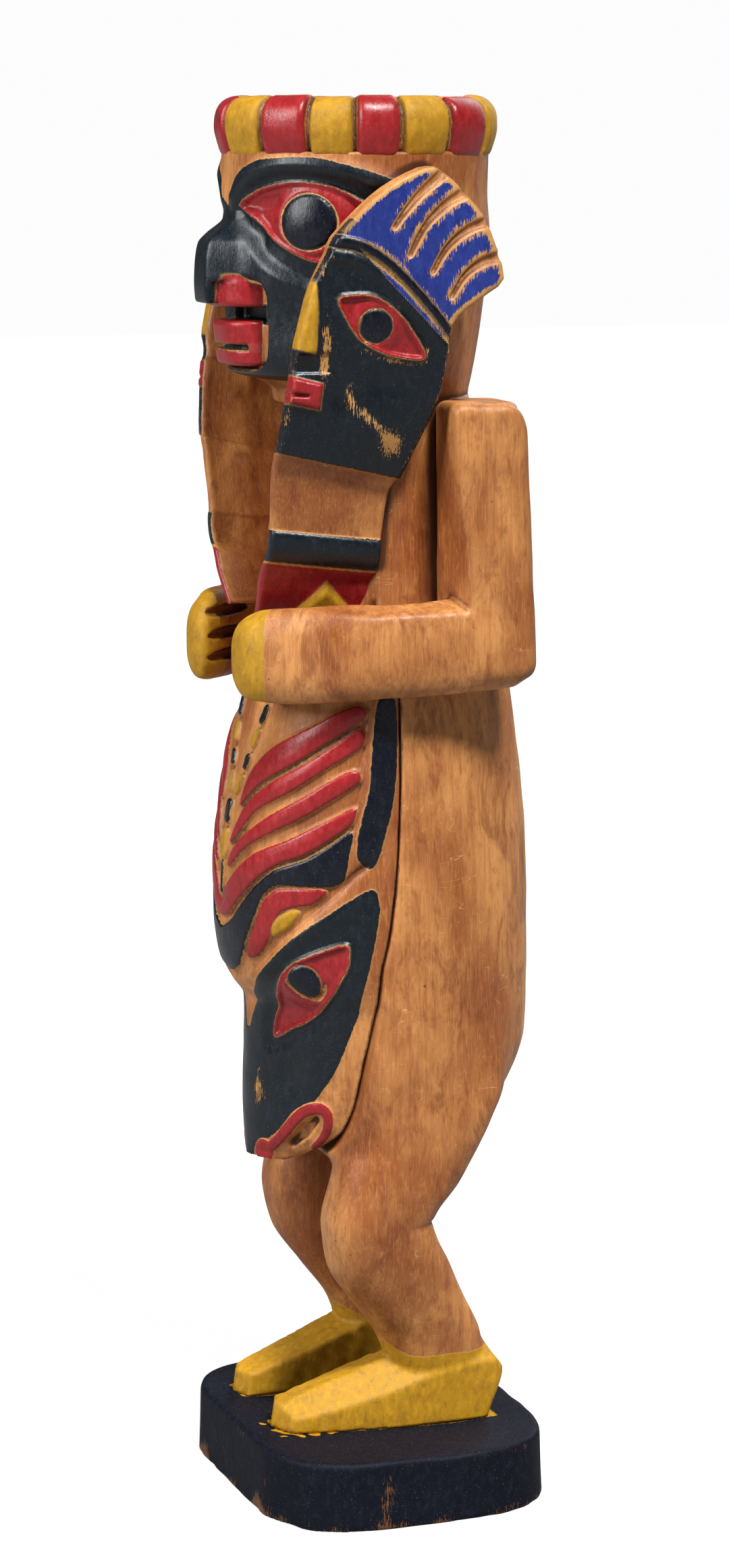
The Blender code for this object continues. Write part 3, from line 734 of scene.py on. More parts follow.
def head_field(x, y, z):
    """The crest head with its face, beaked nose and open mouth."""
    deep = y - HEAD_AXIS_Y
    a, front, back = HEAD(z)
    d = oval(x, deep, a, np.where(deep < 0, front, back))
    s = round_head(x, y)
    d = d - HEAD_CHART.read("height", s, z) * ramp(d, -9.0, -5.0)
    width, reach = NOSE(z)
    nose = soft_max(-y - reach, (np.abs(x) - width) * 0.80 - (y + reach) * 0.60, 0.9)
    nose = soft_max(soft_max(nose, NOSE_TIP_LOW - z, 0.8), z - NOSE_ROOT, 3.0)
    nose = np.where(y > -24.0, 30.0, nose)
    under = NOSE_WING_LOW - 5.8 * ramp(width + 0.7 - np.abs(x), 0.0, 0.9) - 0.25 * np.abs(np.abs(x) - 9.0)
    nose = soft_max(nose, under - z, 0.6)
    d = soft_min(d, nose, 1.6)
    mouth = soft_max(oval(x, y + 28.0, 14.0, 30.0, 3.0), np.abs(z - 340.0) - 2.6, 0.8)
    mouth = soft_max(mouth, y + 30.0, 1.0)
    d = soft_max(d, -mouth, 0.8)
    d = np.minimum(d, lip_field(x, y, z))
    d = d + 0.10 * hand_noise(s, z, 11.0, 0.9)
    d = soft_max(d, NECK_Z - 1.8 - z, 0.6)
    return soft_max(d, z - (RING_BOTTOM + 2.0), 0.6)

def head_paints(x, y, z):
    """The painted areas of the face, its nose and its lips."""
    s = round_head(x, y)
    layers = {name: HEAD_CHART.read(name, s, z) for name in ("red", "navy", "black")}
    lips = lip_field(x, y, z)
    layers["red"] = np.minimum(layers["red"], np.maximum(lips - 0.9, y + 34.2))
    nose = np.maximum.reduce([y + 40.6, 342.0 - z, z - 368.0])
    # painted shade: black fills the inside of the open mouth, standing for the shade in it
    mouth = np.maximum.reduce([337.2 - z, z - 343.0, np.abs(x) - 17.0])
    slot = np.where(y < -30.0, lip_slot(x, z) - 0.25, 9.0)
    black = np.maximum(np.minimum(layers["black"], nose), 0.8 - np.clip(lips, 0, 5))
    layers["black"] = np.minimum.reduce([black, np.where(y < -24.0, mouth, 9.0), slot])
    layers["red"] = np.maximum(layers["red"], -slot)
    return layers

# ---- ring

PAD_START = 2.2
PAD_COUNT = 16
GROOVE_ANGLES = PAD_START + 360 / PAD_COUNT * np.arange(PAD_COUNT)
GROOVE_ANGLES = GROOVE_ANGLES + 3.0 * np.cos(np.radians(3 * (GROOVE_ANGLES - 40)))

def pad_place(x, y):
    """The distance to the nearest groove round the ring, and which pad a point is in."""
    angle = np.degrees(np.arctan2(x, -(y - HEAD_AXIS_Y))) % 360
    gap = (angle[..., None] - GROOVE_ANGLES + 180) % 360 - 180
    nearest = np.min(np.abs(gap), axis=-1) * math.radians(1) * RING_RADIUS
    pad = (np.sum(angle[..., None] > GROOVE_ANGLES, axis=-1) - 1) % PAD_COUNT
    return nearest, pad

def ring_field(x, y, z):
    """The crown: padded blocks round the rim and a shallow dish on top."""
    radius = np.hypot(x, y - HEAD_AXIS_Y)
    nearest, pad = pad_place(x, y)
    middle, half = (RING_BOTTOM + RING_TOP) / 2, (RING_TOP - RING_BOTTOM) / 2
    swell = 0.8 * (1 - ((z - middle) / half) ** 2)
    taper = 1.3 * (1 - ramp(z, RING_BOTTOM, RING_BOTTOM + 9.0))
    out = radius - (RING_RADIUS - 0.75 + swell * 0.8 - taper)
    out = out + 0.75 - 0.75 * ramp(nearest, 0.5, 2.6)
    d = soft_max(out, z - (RING_TOP - 0.1 + 0.25 * np.sin(pad * 2.3)), 7.0)
    d = soft_max(d, RING_BOTTOM + 0.15 - z, 2.4)
    dish = soft_max(radius - 31.5 - (z - RING_TOP) * 0.35, RING_TOP - 2.6 - z, 2.0)
    d = soft_max(d, -dish, 1.6)
    groove = np.maximum(0.0, 1.35 - nearest) * ramp(radius, 31.0, 34.5)
    return d + 1.0 * groove + 0.10 * hand_noise(x + z, y - z, 8.0, 1.9)

def ring_paints(x, y, z):
    """Pads painted red and yellow in turn."""
    nearest, pad = pad_place(x, y)
    radius = np.hypot(x, y - HEAD_AXIS_Y)
    inside_pad = np.maximum(0.75 - nearest, 34.2 - radius)
    inside_pad = np.maximum(inside_pad, RING_BOTTOM + 0.8 - z)
    red = (pad % 2 == 1)
    return {"red": np.where(red, inside_pad, 5.0), "yellow": np.where(red, 5.0, inside_pad)}

# ---- mask boards

MASK_EYE = curved([(-23.2, 345.4), (-18, 346.4), (-12.8, 345.8), (-6.4, 341.4), (-1.6, 335.4),
                   (1.6, 329.2), (-4, 329), (-11, 330.8), (-17, 334.4), (-20.8, 340)], True, 3)
BOARD_FRONT = -37.0
BOARD_DEPTH = 44.0
MASK_PUPIL = (-12.6, 338, 4.9)
HAIR_GROOVES = (((6.4, 378.6), (0.2, 373.6), (-4.4, 368.6), (-7.4, 364.6)),
                ((13, 373.6), (7.6, 370.6), (1.4, 364.8), (-3, 357)),
                ((20.2, 366), (14.2, 364), (8, 359.2), (3.6, 352.4)),
                ((23.4, 356.4), (18.2, 355.2), (12.8, 351.4), (9, 345.6)))
BAND_UPPER = curved([(-23.8, 361), (-17.6, 360), (-11.4, 356.6), (-5.6, 351.8), (0, 346), (5, 340.4),
                     (9.4, 334.6)])
BAND_LOWER = [(y - 1.6, z - 3.9) for y, z in BAND_UPPER]
MOUTH = [(-36.2, 317.2), (-35.2, 324.6), (-26.6, 322.4), (-27.2, 315.2)]
NOSE_PATCH = [(-36, 332.6), (-29.4, 351.4), (-28.6, 342), (-29, 330.6)]

def draw_board(y, z):
    """The near board's relief and paint: profile mask, hair fan, neck, band and red foot."""
    edge = outline(y, z, curved(BOARD_OUTLINE, True, 2))
    eye = outline(y, z, MASK_EYE)
    pupil = np.hypot(y - MASK_PUPIL[0], (z - MASK_PUPIL[1])) - MASK_PUPIL[2]
    upper = stroke(y, z, BAND_UPPER, [1.5] * len(BAND_UPPER))
    lower = stroke(y, z, BAND_LOWER, [1.7] * len(BAND_LOWER))
    grooves = np.full(y.shape, 9.0)
    for hair_line in HAIR_GROOVES:
        points = curved(list(hair_line))
        grooves = np.minimum(grooves, stroke(y, z, points, np.linspace(1.5, 0.55, len(points))))
    mouth = outline(y, z, MOUTH)
    nose = outline(y, z, NOSE_PATCH)
    chin_line = 299.4 - (y + 20) * 0.225
    neck = ramp(chin_line - z, -0.1, 0.35)
    # the headband's two mouldings and the hair grooves
    height = 0.9 * moulding(upper + 1.5, 1.7) + 0.9 * moulding(lower + 1.7, 1.9)
    height += -1.15 * ramp(-grooves, -0.5, 0.9)
    # nose, upper lip, mouth
    height += 1.5 * ramp(-(y + 29.2), -1.6, 0.6) * ramp(z, 327.5, 331.5) * ramp(-z, -352.0, -340.0)
    height += -0.9 * ramp(-(y + 25.4), -3.0, 0.4) * ramp(z, 324.8, 325.8) * ramp(-z, -331.2, -330.0)
    height += 1.6 * ramp(-mouth, -0.35, 0.9)
    slit = stroke(y, z, [(-36.4, 319.8), (-30.6, 319.2)], [0.5, 0.25])
    height += -1.5 * ramp(-slit, -0.5, 0.5)
    # eye and cheek
    height += 0.75 * ramp(-eye, -1.3, 0.0) - 1.3 * ramp(-eye, 0.2, 1.5)
    ball = np.clip(1 - (np.hypot(y + 12.0, (z - 338.2) * 1.1) / 8.8) ** 2, 0, 1)
    height += 1.5 * ball * ramp(-eye, 0.3, 1.6) - 0.35 * line(pupil + 0.1, 0.4)
    height += dabs(y, z, [(-1.2, -22.0, 320, 2.6, 5.0), (-1.3, -9.0, 322, 8.0, 5.0),
                          (0.9, -14.0, 309, 9.0, 5.0)])
    # neck, band and red foot below the chin
    height += -2.6 * neck
    bevel = ramp(chin_line - 1.2 - z, 0.0, 3.4)
    height += 0.9 * (1 - bevel) * neck + 0.5 * neck * bevel * (1 - ((y + 20.5) / 16.0) ** 2)
    band_top, band_low = 279.6 - (y + 20) * 0.115, 270.6 - (y + 20) * 0.115
    band = np.maximum(z - band_top, band_low - z)
    height += 1.7 * moulding(z - (band_top + band_low) / 2, 4.6)
    red_board = np.maximum(z - (band_low - 0.7), 255.0 - z)
    height += -1.0 * ramp(-red_board, -0.6, 0.8) - 0.5 * ramp(-red_board, 0.0, 4.0) * ramp(z, 262.0, 267.0)
    triangle = outline(y, z, [(-19.6, 266.2), (-28.6, 256.0), (-10.4, 256.0)])
    height += 1.5 * ramp(-triangle, -0.8, 2.6)
    # painted areas
    hair = np.maximum(-upper - 0.1, np.maximum(edge + 0.5, 0.55 - grooves))
    hair = np.where(z > 331.0 - 1.02 * (y - 9.6), hair, np.maximum(hair, 2.0))
    below_hair = (z - 346.0) + 1.02 * (y - 1.6)
    black = np.minimum(np.maximum(chin_line - z, below_hair), lower - 1.0)
    black = np.minimum(np.maximum(black, chin_line - z), band)
    black = np.maximum.reduce([black, -eye, -mouth - 0.2, -nose - 0.2])
    red = np.minimum(np.maximum(eye, -pupil), mouth)
    red = np.minimum(red, np.maximum(red_board, -triangle))
    yellow = np.minimum(nose, triangle)
    # where the paint is rubbed through
    worn = dabs(y, z, [(0.95, -26.0, 330.0, 1.5, 12.0), (0.95, -6.6, 305.6, 4.4, 4.4),
                       (0.62, -19.0, 317.0, 1.6, 6.0), (0.66, -16.0, 303.6, 1.3, 1.5)])
    worn += 0.80 * line(y + 12.6 + 0.9 * (z - 312.0), 2.6) * line(z - 312.0, 4.6)
    worn += 0.55 * ramp(-np.abs(edge + 0.6), -1.6, -0.2) * ramp(z, 296.0, 300.0)
    worn += 0.66 * line(eye - 1.2, 1.1) * ramp(-z, -335.0, -331.0)
    worn += 0.70 * line(upper - lower, 1.5) * line(y + 6.0, 9.0)
    return {"height": height, "edge": edge, "black": black, "red": red, "yellow": yellow,
            "navy": np.minimum(pupil, upper - 0.3), "blue": hair, "worn": worn}

BOARD_CHART = Chart((-44.0, 252.0), (30.0, 386.0), draw_board)

def board_face(y, z):
    """The x of the board's painted face, and how far back along it this is (0 to 1)."""
    front, back = BOARD_FACE(z)
    t = np.clip((y - BOARD_FRONT) / BOARD_DEPTH, -0.2, 1.25)
    return front + (back - front) * t + 1.2 * np.sin(np.pi * np.clip(t, 0, 1)), t

def board_field(x, y, z):
    """The mask board on the side of +x."""
    face, t = board_face(y, z)
    height = BOARD_CHART.read("height", y, z)
    inner = face + 0.8 * np.clip(height, -4.0, 0.0) - 4.4 - 2.8 * ramp(t, 0.02, 0.30) - x
    d = soft_max(x - face - height, BOARD_CHART.read("edge", y, z), 1.3)
    d = soft_max(d, inner, 1.6)
    return d + 0.08 * hand_noise(y, z, 9.0, 2.7)

def board_paints(x, y, z):
    """The boards' paint, on their outer side only."""
    side = np.abs(x)
    behind = board_face(y, z)[0] + np.clip(BOARD_CHART.read("height", y, z), -4.0, 0.0) - 3.5 - side
    names = ("black", "red", "yellow", "navy", "blue")
    layers = {name: np.maximum(BOARD_CHART.read(name, y, z), behind) for name in names}
    layers["worn"] = BOARD_CHART.read("worn", y, z)
    return layers

# ---- apron

APRON_DEGREE = 0.68  # millimetres round the apron per degree
APRON_TOP = PANEL_HIGH + 2.6
RIBS = (
    [(47.9, 230.2), (45, 232.2), (38.8, 230.2), (33.7, 227.2), (27.8, 223.9), (20.8, 220.1), (15.4, 216.2),
     (11, 211.6), (8.8, 207), (8.2, 201.2), (12.5, 205), (17.9, 209.4), (28.7, 215.8), (38.9, 223),
     (46.8, 227.8)],
    [(48.4, 223.2), (46, 225.6), (41.1, 222.4), (32.1, 216), (21.8, 209.9), (12.2, 202.6), (7.4, 196),
     (4.7, 189.8), (10, 193.8), (17.3, 201.2), (27.5, 207), (37.7, 214.4), (46.6, 220.2)],
    [(47.6, 212), (45.8, 214), (40.5, 212), (31.6, 205.9), (21.3, 199.7), (11.2, 192.6), (7, 188.6),
     (4.4, 184), (6.8, 184), (14.2, 190.3), (23.7, 195.6), (32.7, 200.5), (41.5, 206.6), (46.4, 210)],
    [(46.8, 201.6), (46.2, 203.5), (39, 199.7), (28.6, 193.9), (16.9, 188.5), (7.7, 181.5), (3.4, 177.4),
     (0.6, 173.4), (-6, 173.4), (-6, 168.6), (0, 168.4), (5.6, 170), (10.8, 174.8), (18.5, 181.5),
     (26.4, 186.9), (34.1, 190.2), (44.8, 198)],
)
NAVY_BAND = [(46, 196.7), (40.1, 192.6), (34.1, 188.6), (25.2, 185), (17.7, 179.2), (10.7, 172),
             (6.3, 168), (0, 165.2), (-6, 165.2), (-6, 152), (0, 152), (7.4, 154.6), (11.1, 158.5),
             (16.2, 167.8), (20.5, 176.2), (23.2, 179.4), (26.4, 180.9), (34.1, 181), (41.2, 181.2),
             (44.4, 183.4), (45.4, 190)]
LEAF = [(39.7, 180), (33.1, 180.2), (26.9, 179.8), (23.9, 178.2), (20.8, 175), (17.3, 167.4), (15, 162.6),
        (13.5, 158.4), (17.4, 159.2), (20.7, 162.3), (22.9, 165.4), (23.9, 168.3), (25.5, 171.3),
        (28, 173.8), (32.9, 175.3), (36.1, 176)]
HALF_OVAL = [(24, 167.6), (25.2, 170.4), (27.6, 172.6), (30.2, 174), (32.3, 173.6), (30.1, 169.8),
             (27.1, 167.3), (24.4, 165.9)]
VALLEY = curved([(-4, 150.6), (0, 150.8), (7.8, 152.7), (14.4, 155.7), (19.7, 159.9), (26.9, 165.3),
                 (32.9, 170.9), (41.2, 178.4), (46.1, 183.9), (50.1, 187.1)], steps=3)
BAR = [(51, 231), (52.6, 234.6), (54.8, 235.3), (56.8, 234.4), (57.8, 231), (58.2, 222), (57.8, 212.3),
       (56.4, 202), (54.9, 196.2), (53.6, 190.8), (51.8, 186.6), (50, 186.4), (48, 188.6), (47.4, 192.6),
       (48.6, 201), (50, 208.4), (50.3, 216.4)]
FENCE = [(49.6, 236), (49.1, 218), (48.2, 205), (46.3, 193.7), (44.9, 184.5)]
BEAST_FACE = [(51.8, 180.4), (53.1, 177), (53.2, 172.5), (52.3, 167), (49.6, 154.5), (44.2, 141.9),
              (39.1, 128.6), (36.7, 124.2), (33.6, 119.8), (31, 116.6), (25.9, 114.8), (22.2, 111.9),
              (19.2, 107.9), (14.2, 104.1), (6.6, 101.1), (4, 94), (-6, 92), (-6, 136), (0.6, 135),
              (3, 139.4), (7.4, 145.9), (13.4, 150.8), (20.4, 156.8), (29.9, 165.5), (39.2, 172.6),
              (47.4, 178.5)]
BEAST_EYE = [(45.4, 163.2), (44.4, 164.6), (41.2, 163.8), (34.2, 160.8), (28, 157.2), (21.8, 150.2),
             (17.4, 145), (14.6, 139.8), (14.2, 134.8), (17.2, 135.4), (21.9, 138.1), (28, 140.9),
             (38.4, 149), (44.2, 156.8)]
BEAST_PUPIL = (32.2, 153.4, 5.1)
SNOUT = [(17, 102.4), (19.4, 104.6), (22.8, 108.6), (26.1, 112.2), (30.4, 114.6), (34.4, 115), (36.7, 113),
         (37.2, 109.4), (36, 105.8), (34, 102.8)]
# distance from the middle, z, half width, half height, paint
TILES = ((11.6, 233.6, 1.7, 2.6, "yellow"), (10.8, 227.4, 1.6, 2.8, "navy"), (8.5, 220.3, 1.5, 2.7, "yellow"),
         (6, 213.4, 1.5, 2.3, "navy"), (3.7, 206.6, 1.4, 2.9, "yellow"), (0, 198.6, 2, 3.5, "navy"),
         (0, 189.3, 1.7, 4.3, "yellow"), (0, 179.8, 0.55, 5, "navy"))

def draw_apron(s, z):
    """The apron's relief and paint, ribs above and the animal's face below; s is the distance round it."""
    def shape(points):
        return outline(s, z, curved(points, True, 4))

    valley = stroke(s, z, VALLEY, [0.0] * len(VALLEY))
    above = outline(s, z, [(-9.0, 150.6)] + VALLEY + [(60.0, 196.0), (66.0, 240.0), (-9.0, 240.0)])
    ribs = np.minimum.reduce([shape(rib) for rib in RIBS])
    navy_band, leaf, half_oval = shape(NAVY_BAND), shape(LEAF), shape(HALF_OVAL)
    beast, eye, bar = shape(BEAST_FACE), shape(BEAST_EYE), shape(BAR)
    pupil = np.hypot(s - BEAST_PUPIL[0], z - BEAST_PUPIL[1]) - BEAST_PUPIL[2]
    lip = curved(SNOUT)
    snout = stroke(s, z, lip, np.linspace(2.1, 1.5, len(lip)))
    snout = soft_min(snout, oval(s - 12.2, z - 99.6, 4.8, 3.7), 1.0)
    fence = stroke(s, z, FENCE, [0.0] * len(FENCE))
    yellow, tiles = half_oval, np.full(s.shape, 30.0)
    navy = np.minimum.reduce([navy_band, bar, pupil])
    for middle, level, wide, tall, paint in TILES:
        tile = oval(s - middle - (z - level) * (0.28 if middle else 0.0), z - level, wide, tall, 4.0)
        tiles = np.minimum(tiles, tile)
        if paint == "yellow":
            yellow = np.minimum(yellow, tile)
        else:
            navy = np.minimum(navy, tile)
    ribs = np.maximum(ribs, 0.7 - tiles)
    raised = np.minimum.reduce([ribs, navy_band, leaf, half_oval, tiles])
    fence_at = Profile([(z_, s_) for s_, z_ in FENCE[::-1]])(z)[0]
    inside_frame = ramp(-above, 0.2, 1.6) * ramp(fence_at - s, 0.2, 1.4)
    height = -1.25 * inside_frame * (1 - ramp(-raised, -0.75, 0.45))
    height += 0.35 * np.clip(-ribs / 2.6, 0, 1) * ramp(-above, 0.0, 1.0)
    height += -0.55 * line(fence, 0.55) * ramp(z, 184.0, 187.0)
    height += -1.2 * line(valley, 0.95) - 0.6 * line(valley, 2.6)
    height += 0.30 * ramp(-beast, -0.6, 0.9)
    socket = shape([(49.0, 171.0), (40.0, 169.6), (30.0, 163.0), (18.0, 152.6), (11.0, 143.0), (10.6, 131.6),
                    (18.0, 131.0), (28.0, 137.0), (38.0, 146.0), (46.4, 156.4)])
    height += -1.0 * ramp(-socket, -2.0, 3.0)
    height += 1.1 * ramp(-eye, -1.3, 0.2) - 1.1 * ramp(-eye, 0.4, 1.5)
    height += 1.7 * np.clip(1 - (np.hypot(s - 29.5, z - 152.6) / 9.4) ** 2, 0, 1) * ramp(-eye, 0.4, 1.8)
    height += -0.5 * line(pupil + 0.1, 0.4)
    lower_left = ramp(BEAST_PUPIL[1] + 1.0 - z, 0.0, 2.5)
    crescent = np.abs(pupil - 0.55) - 0.5 * lower_left
    height += -0.7 * ramp(-crescent, -0.4, 0.3) * lower_left
    height += dabs(s, z, [(-1.6, 20.5, 123.0, 6.5, 7.5)])
    height += 0.8 * ramp(-snout, -0.7, 0.8)
    nostril = stroke(s, z, [(24.4, 103.6), (28.4, 107.6), (32.4, 111.4)], [2.0, 2.9, 1.6])
    height += -2.4 * ramp(-nostril, -0.4, 1.8)
    height += 0.45 * ramp(-bar, -0.5, 0.8) - 0.30
    red = np.minimum.reduce([np.maximum(eye, -0.2 - pupil), leaf, ribs, snout])
    red = np.maximum(red, np.where(lower_left > 0.05, -crescent - 0.1, -9.0))
    black = np.maximum.reduce([beast, -eye, 0.3 - snout, 0.5 - nostril])
    worn = dabs(s, z, [(0.9, 7.6, 119.0, 2.0, 7.0), (0.5, 10.5, 117.0, 1.6, 3.5),
                       (0.22, 26, 193, 6.0, 9.0), (0.25, 13, 177, 4.0, 6.0)])
    return {"height": height, "red": red, "navy": navy, "yellow": yellow, "black": black, "worn": worn}

APRON_CHART = Chart((-6.0, 92.0), (66.0, 238.0), draw_apron)

def apron_place(x, y, z):
    """The distance to the apron's smooth shell, its rim's y there, and the distance round it."""
    a, b, rim, roundness = PANEL(z)
    reach = (np.abs(x / a) ** roundness + np.abs(y / b) ** roundness) ** (1 / roundness) + 1e-9
    radius = np.hypot(x, y)
    s = np.degrees(np.arctan2(np.abs(x) / a, -y / b)) * APRON_DEGREE
    return radius - radius / reach, rim, s

def panel_field(x, y, z):
    """The apron: a shell over the trunk with its carved relief."""
    d, rim, s = apron_place(x, y, z)
    outer = d - APRON_CHART.read("height", s, z)
    body = soft_max(outer, (y - rim + 0.05) * 0.95, 0.8)
    body = soft_max(body, -d - 6.6, 1.0)
    body = soft_max(body, z - APRON_TOP, 1.2)
    bottom = PANEL_LOW - 3.4 + 10.5 * np.clip(s / 42.0, 0, 1.2) ** 3
    body = soft_max(body, (bottom - z) * 0.9, 1.8)
    return body + 0.09 * hand_noise(s * np.sign(x), z, 9.0, 1.1)

def panel_paints(x, y, z):
    """The apron's paint, on its outer side only."""
    d, _, s = apron_place(x, y, z)
    behind = -d - 3.4
    names = ("red", "navy", "yellow", "black")
    layers = {name: np.maximum(APRON_CHART.read(name, s, z), behind) for name in names}
    layers["worn"] = APRON_CHART.read("worn", s, z)
    return layers

# ---- plinth

def base_field(x, y, z):
    """The plinth: bowed sides, flat front with two cut corners, and a chipped lower edge."""
    middle = (BASE_LOW + BASE_HIGH) / 2 - PLACE
    half = (BASE_HIGH - BASE_LOW) / 2
    flare = 0.8 * (1 - np.clip(z / SOLE_Z, 0, 1))
    d = oval(x - middle[0], y - middle[1], half[0] - 0.8 + flare, half[1] - 0.8 + flare, 3.7)
    for corner, turn in ((36.5, 0.42), (-24.5, -0.42)):
        d = soft_max(d, turn * (x - corner) - 0.907 * (y + 43.2), 0.4)
    d = soft_max(d, -y - 42.8 + 0.04 * z + middle[1], 0.4)
    d = soft_max(d, z - SOLE_Z + 0.5 * ramp(hand_noise(x, y, 21.0, 3.1), 0.1, 1.0), 1.6)
    chips = 0.28 * np.clip(hand_noise(x + y, x - y, 13.0, 5.1) - 0.2, 0, 1) * ramp(-z, -4.0, 0.0)
    d = soft_max(d, -z, 0.8)
    return d + chips + 0.12 * hand_noise(x + y, z + 0.4 * x, 14.0, 0.4)

def base_paints(x, y, z):
    """Navy all over, yellow spilt round the feet, and scuffs."""
    side = np.abs(x)
    inner, outer = FOOT(y)[2:]
    across = np.abs(side - (inner + outer) / 2) - (outer - inner) / 2
    around = np.maximum(across, np.maximum(-33.6 - y, y - 31.5))
    near_toe = ramp(-y, 16.0, 26.0) * ramp(x, 0.0, 5.0)
    spill = around + 0.3 - 3.0 * near_toe * ramp(hand_noise(x, y, 3.4, 2.2), 0.0, 0.5)
    low = line(z, 2.6) * (0.40 + 0.35 * hand_noise(x + y, x - y, 19.0, 6.0))
    marks = 0.75 * ramp(hand_noise(x + 1.3 * y, 0.8 * z, 23.0, 9.3), 0.35, 0.75) * (z < SOLE_Z - 2.5)
    rim = 0.5 * line(z - SOLE_Z + 1.6, 1.2) * ramp(hand_noise(x, y, 15.0, 7.7), 0.1, 0.6)
    return {"navy": -z - 5.0, "yellow": np.where(z > SOLE_Z - 1.5, spill, 5.0), "worn": low + marks + rim}

def everything(x, y, z):
    """The distance to the nearest carved piece above the base."""
    side = np.abs(x)
    return np.minimum.reduce([body_field(x, y, z), head_field(x, y, z), panel_field(x, y, z),
                              arm_field(side, y, z), board_field(side, y, z)])

def build():
    """Every visible piece of the figure."""
    wood = carved_finish("carved_wood_painted", ("yellow",), 1.0)
    face = carved_finish("face_paint_worn", ("black", "navy", "red"), 2.0)
    mask = carved_finish("mask_paint_worn", ("black", "navy", "blue", "red", "yellow"), 3.0)
    apron = carved_finish("apron_paint_worn", ("black", "navy", "red", "yellow"), 4.0)
    crown = carved_finish("crown_paint_worn", ("red", "yellow"), 5.0)
    plinth = carved_finish("plinth_paint_worn", ("navy", "yellow"), 6.0, wear=1.15, gloss=0.18, matt=True)
    pegs = carved_finish("peg_wood", (), 7.0)
    body = carve("figure_body", body_field, (-43, -35, SOLE_Z - 0.5), (43, 49, 318), 1.03, body_paints,
                 everything)
    stand_for(body, "body", wood)
    head = carve("crest_head", head_field, (-40, -51, NECK_Z - 3), (40, 38, RING_BOTTOM + 3), 0.65,
                 head_paints, everything)
    stand_for(head, "head", face)
    reach = RING_RADIUS + 1
    ring = carve("crown_ring", ring_field, (-reach, HEAD_AXIS_Y - reach, RING_BOTTOM - 0.5),
                 (reach, HEAD_AXIS_Y + reach, RING_TOP + 0.8), 0.65, ring_paints)
    stand_for(ring, "head_ring", crown)
    panel = carve("apron_panel", panel_field, (-41, -46, PANEL_LOW - 1), (41, 2, PANEL_HIGH + 1), 0.65,
                  panel_paints, everything)
    stand_for(panel, "front_panel", apron)
    base = carve("plinth", base_field, BASE_LOW - PLACE - 0.5, BASE_HIGH - PLACE + 0.5, 0.9, base_paints)
    stand_for(base, "base", plinth)
    for side, label in ((1, "left"), (-1, "right")):
        low, high = sorted((12 * side, 51 * side))
        arm = carve("arm_" + label + "_carved", lambda x, y, z: arm_field(side * x, y, z),
                    (low, -47, 231), (high, 38, 318), 0.8, arm_paints, everything)
        stand_for(arm, "arm_" + label, wood)
        low, high = sorted((5 * side, 50 * side))
        board = carve("mask_" + label + "_carved", lambda x, y, z: board_field(side * x, y, z),
                      (low, -40, 255), (high, 26, 383), 0.55, board_paints, everything)
        stand_for(board, "mask_board_" + label, mask)
    for name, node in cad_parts.items():
        if "dowel" in name or "peg" in name:
            node.data.materials.clear()
            node.data.materials.append(pegs)

# ---------------------------------------------------------------- studio

FLOOR_HALF = 6.0
CAMERA_AZIMUTH = 69.9
CAMERA_ELEVATION = 9.7
CAMERA_DISTANCE = 1.1512
CAMERA_TARGET_Y = -0.0018
CAMERA_LENS = 91.86
CAMERA_SENSOR = 36.0
CAMERA_SHIFT = (0.0019, 0.0109)

def area_light(name, place, target, size, power):
    """A soft box in watts, turned towards the target."""
    data = bpy.data.lights.new(name, "AREA")
    data.shape = "RECTANGLE"
    data.size, data.size_y = size
    data.energy = power
    light = bpy.data.objects.new(name, data)
    light.location = place
    light.rotation_euler = (Vector(target) - Vector(place)).to_track_quat("-Z", "Y").to_euler()
    show(light)

def view_axes():
    """Towards the camera, to its right, and up, at the photograph's viewing angle."""
    azimuth, elevation = math.radians(CAMERA_AZIMUTH), math.radians(CAMERA_ELEVATION)
    back = Vector((math.sin(azimuth) * math.cos(elevation), -math.cos(azimuth) * math.cos(elevation),
                   math.sin(elevation)))
    right = Vector((math.cos(azimuth), math.sin(azimuth), 0))
    return back, right, Vector((0, 0, 1))

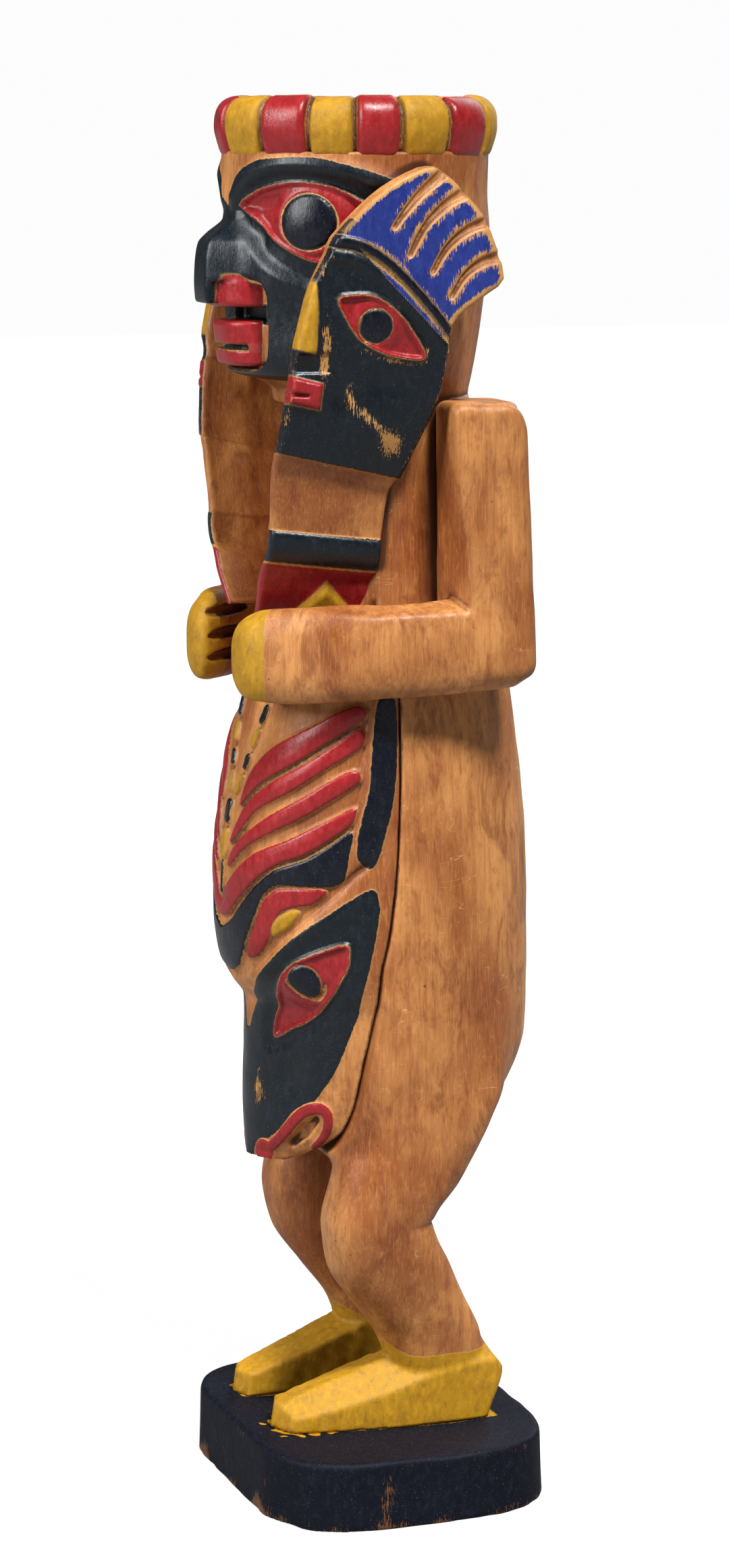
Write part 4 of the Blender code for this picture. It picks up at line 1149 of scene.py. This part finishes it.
def pale_floor():
    """A large plain floor that is white to the camera and throws little light back."""
    mesh = bpy.data.meshes.new("floor")
    corners = [(a * FLOOR_HALF, b * FLOOR_HALF, 0) for a, b in ((-1, -1), (1, -1), (1, 1), (-1, 1))]
    mesh.from_pydata(corners, [], [(0, 1, 2, 3)])
    floor = bpy.data.objects.new("floor", mesh)
    show(floor)
    n = Nodes("pale_floor")
    n.shader.inputs["Base Color"].default_value = (0.24, 0.24, 0.24, 1)
    n.shader.inputs["Roughness"].default_value = 0.9
    n.shader.inputs["Emission Color"].default_value = (1, 1, 1, 1)
    seen = n.tree.nodes.new("ShaderNodeLightPath").outputs["Is Camera Ray"]
    n.put(n.shader.inputs["Emission Strength"], n.times(seen, 0.84))
    mesh.materials.append(n.material)

def pale_world():
    """A white background that lights the figure only faintly."""
    world = bpy.data.worlds.new("studio")
    bpy.context.scene.world = world
    world.use_nodes = True
    tree = world.node_tree
    background = tree.nodes["Background"]
    background.inputs["Color"].default_value = (1.0, 1.0, 1.0, 1)
    path = tree.nodes.new("ShaderNodeLightPath")
    level = tree.nodes.new("ShaderNodeMapRange")
    level.inputs["To Min"].default_value = 0.10
    level.inputs["To Max"].default_value = 0.98
    tree.links.new(path.outputs["Is Camera Ray"], level.inputs["Value"])
    tree.links.new(level.outputs[0], background.inputs["Strength"])

def lights():
    """A soft sun over the camera's shoulder, a soft box from the left and one from behind."""
    middle = Vector((0, 0, RING_TOP / 2 * MM))
    back, right, up = view_axes()
    sun = bpy.data.lights.new("key_sun", "SUN")
    sun.energy = 4.6
    sun.angle = math.radians(12)
    key = bpy.data.objects.new("key_sun", sun)
    key.rotation_euler = (back * 0.66 + right * 0.34 + up * 1.0).to_track_quat("Z", "Y").to_euler()
    show(key)
    area_light("left_soft", middle + back * 0.55 - right * 0.95 + up * 0.55, middle, (0.30, 0.7), 13.0)
    area_light("rear_soft", middle - back * 1.1 + right * 0.5 + up * 0.8, middle, (0.7, 0.9), 4.0)

def camera():
    """The camera, solved from the photograph, aimed at the middle of the figure's height."""
    target = Vector((0, CAMERA_TARGET_Y, RING_TOP / 2 * MM))
    back = view_axes()[0]
    data = bpy.data.cameras.new("camera")
    data.lens = CAMERA_LENS
    data.sensor_width = CAMERA_SENSOR
    data.shift_x, data.shift_y = CAMERA_SHIFT
    view = bpy.data.objects.new("camera", data)
    view.location = target + back * CAMERA_DISTANCE
    view.rotation_euler = back.to_track_quat("Z", "Y").to_euler()
    show(view)
    bpy.context.scene.camera = view

camera()
pale_floor()
pale_world()
lights()
build()
bpy.context.scene.view_settings.view_transform = "Standard"
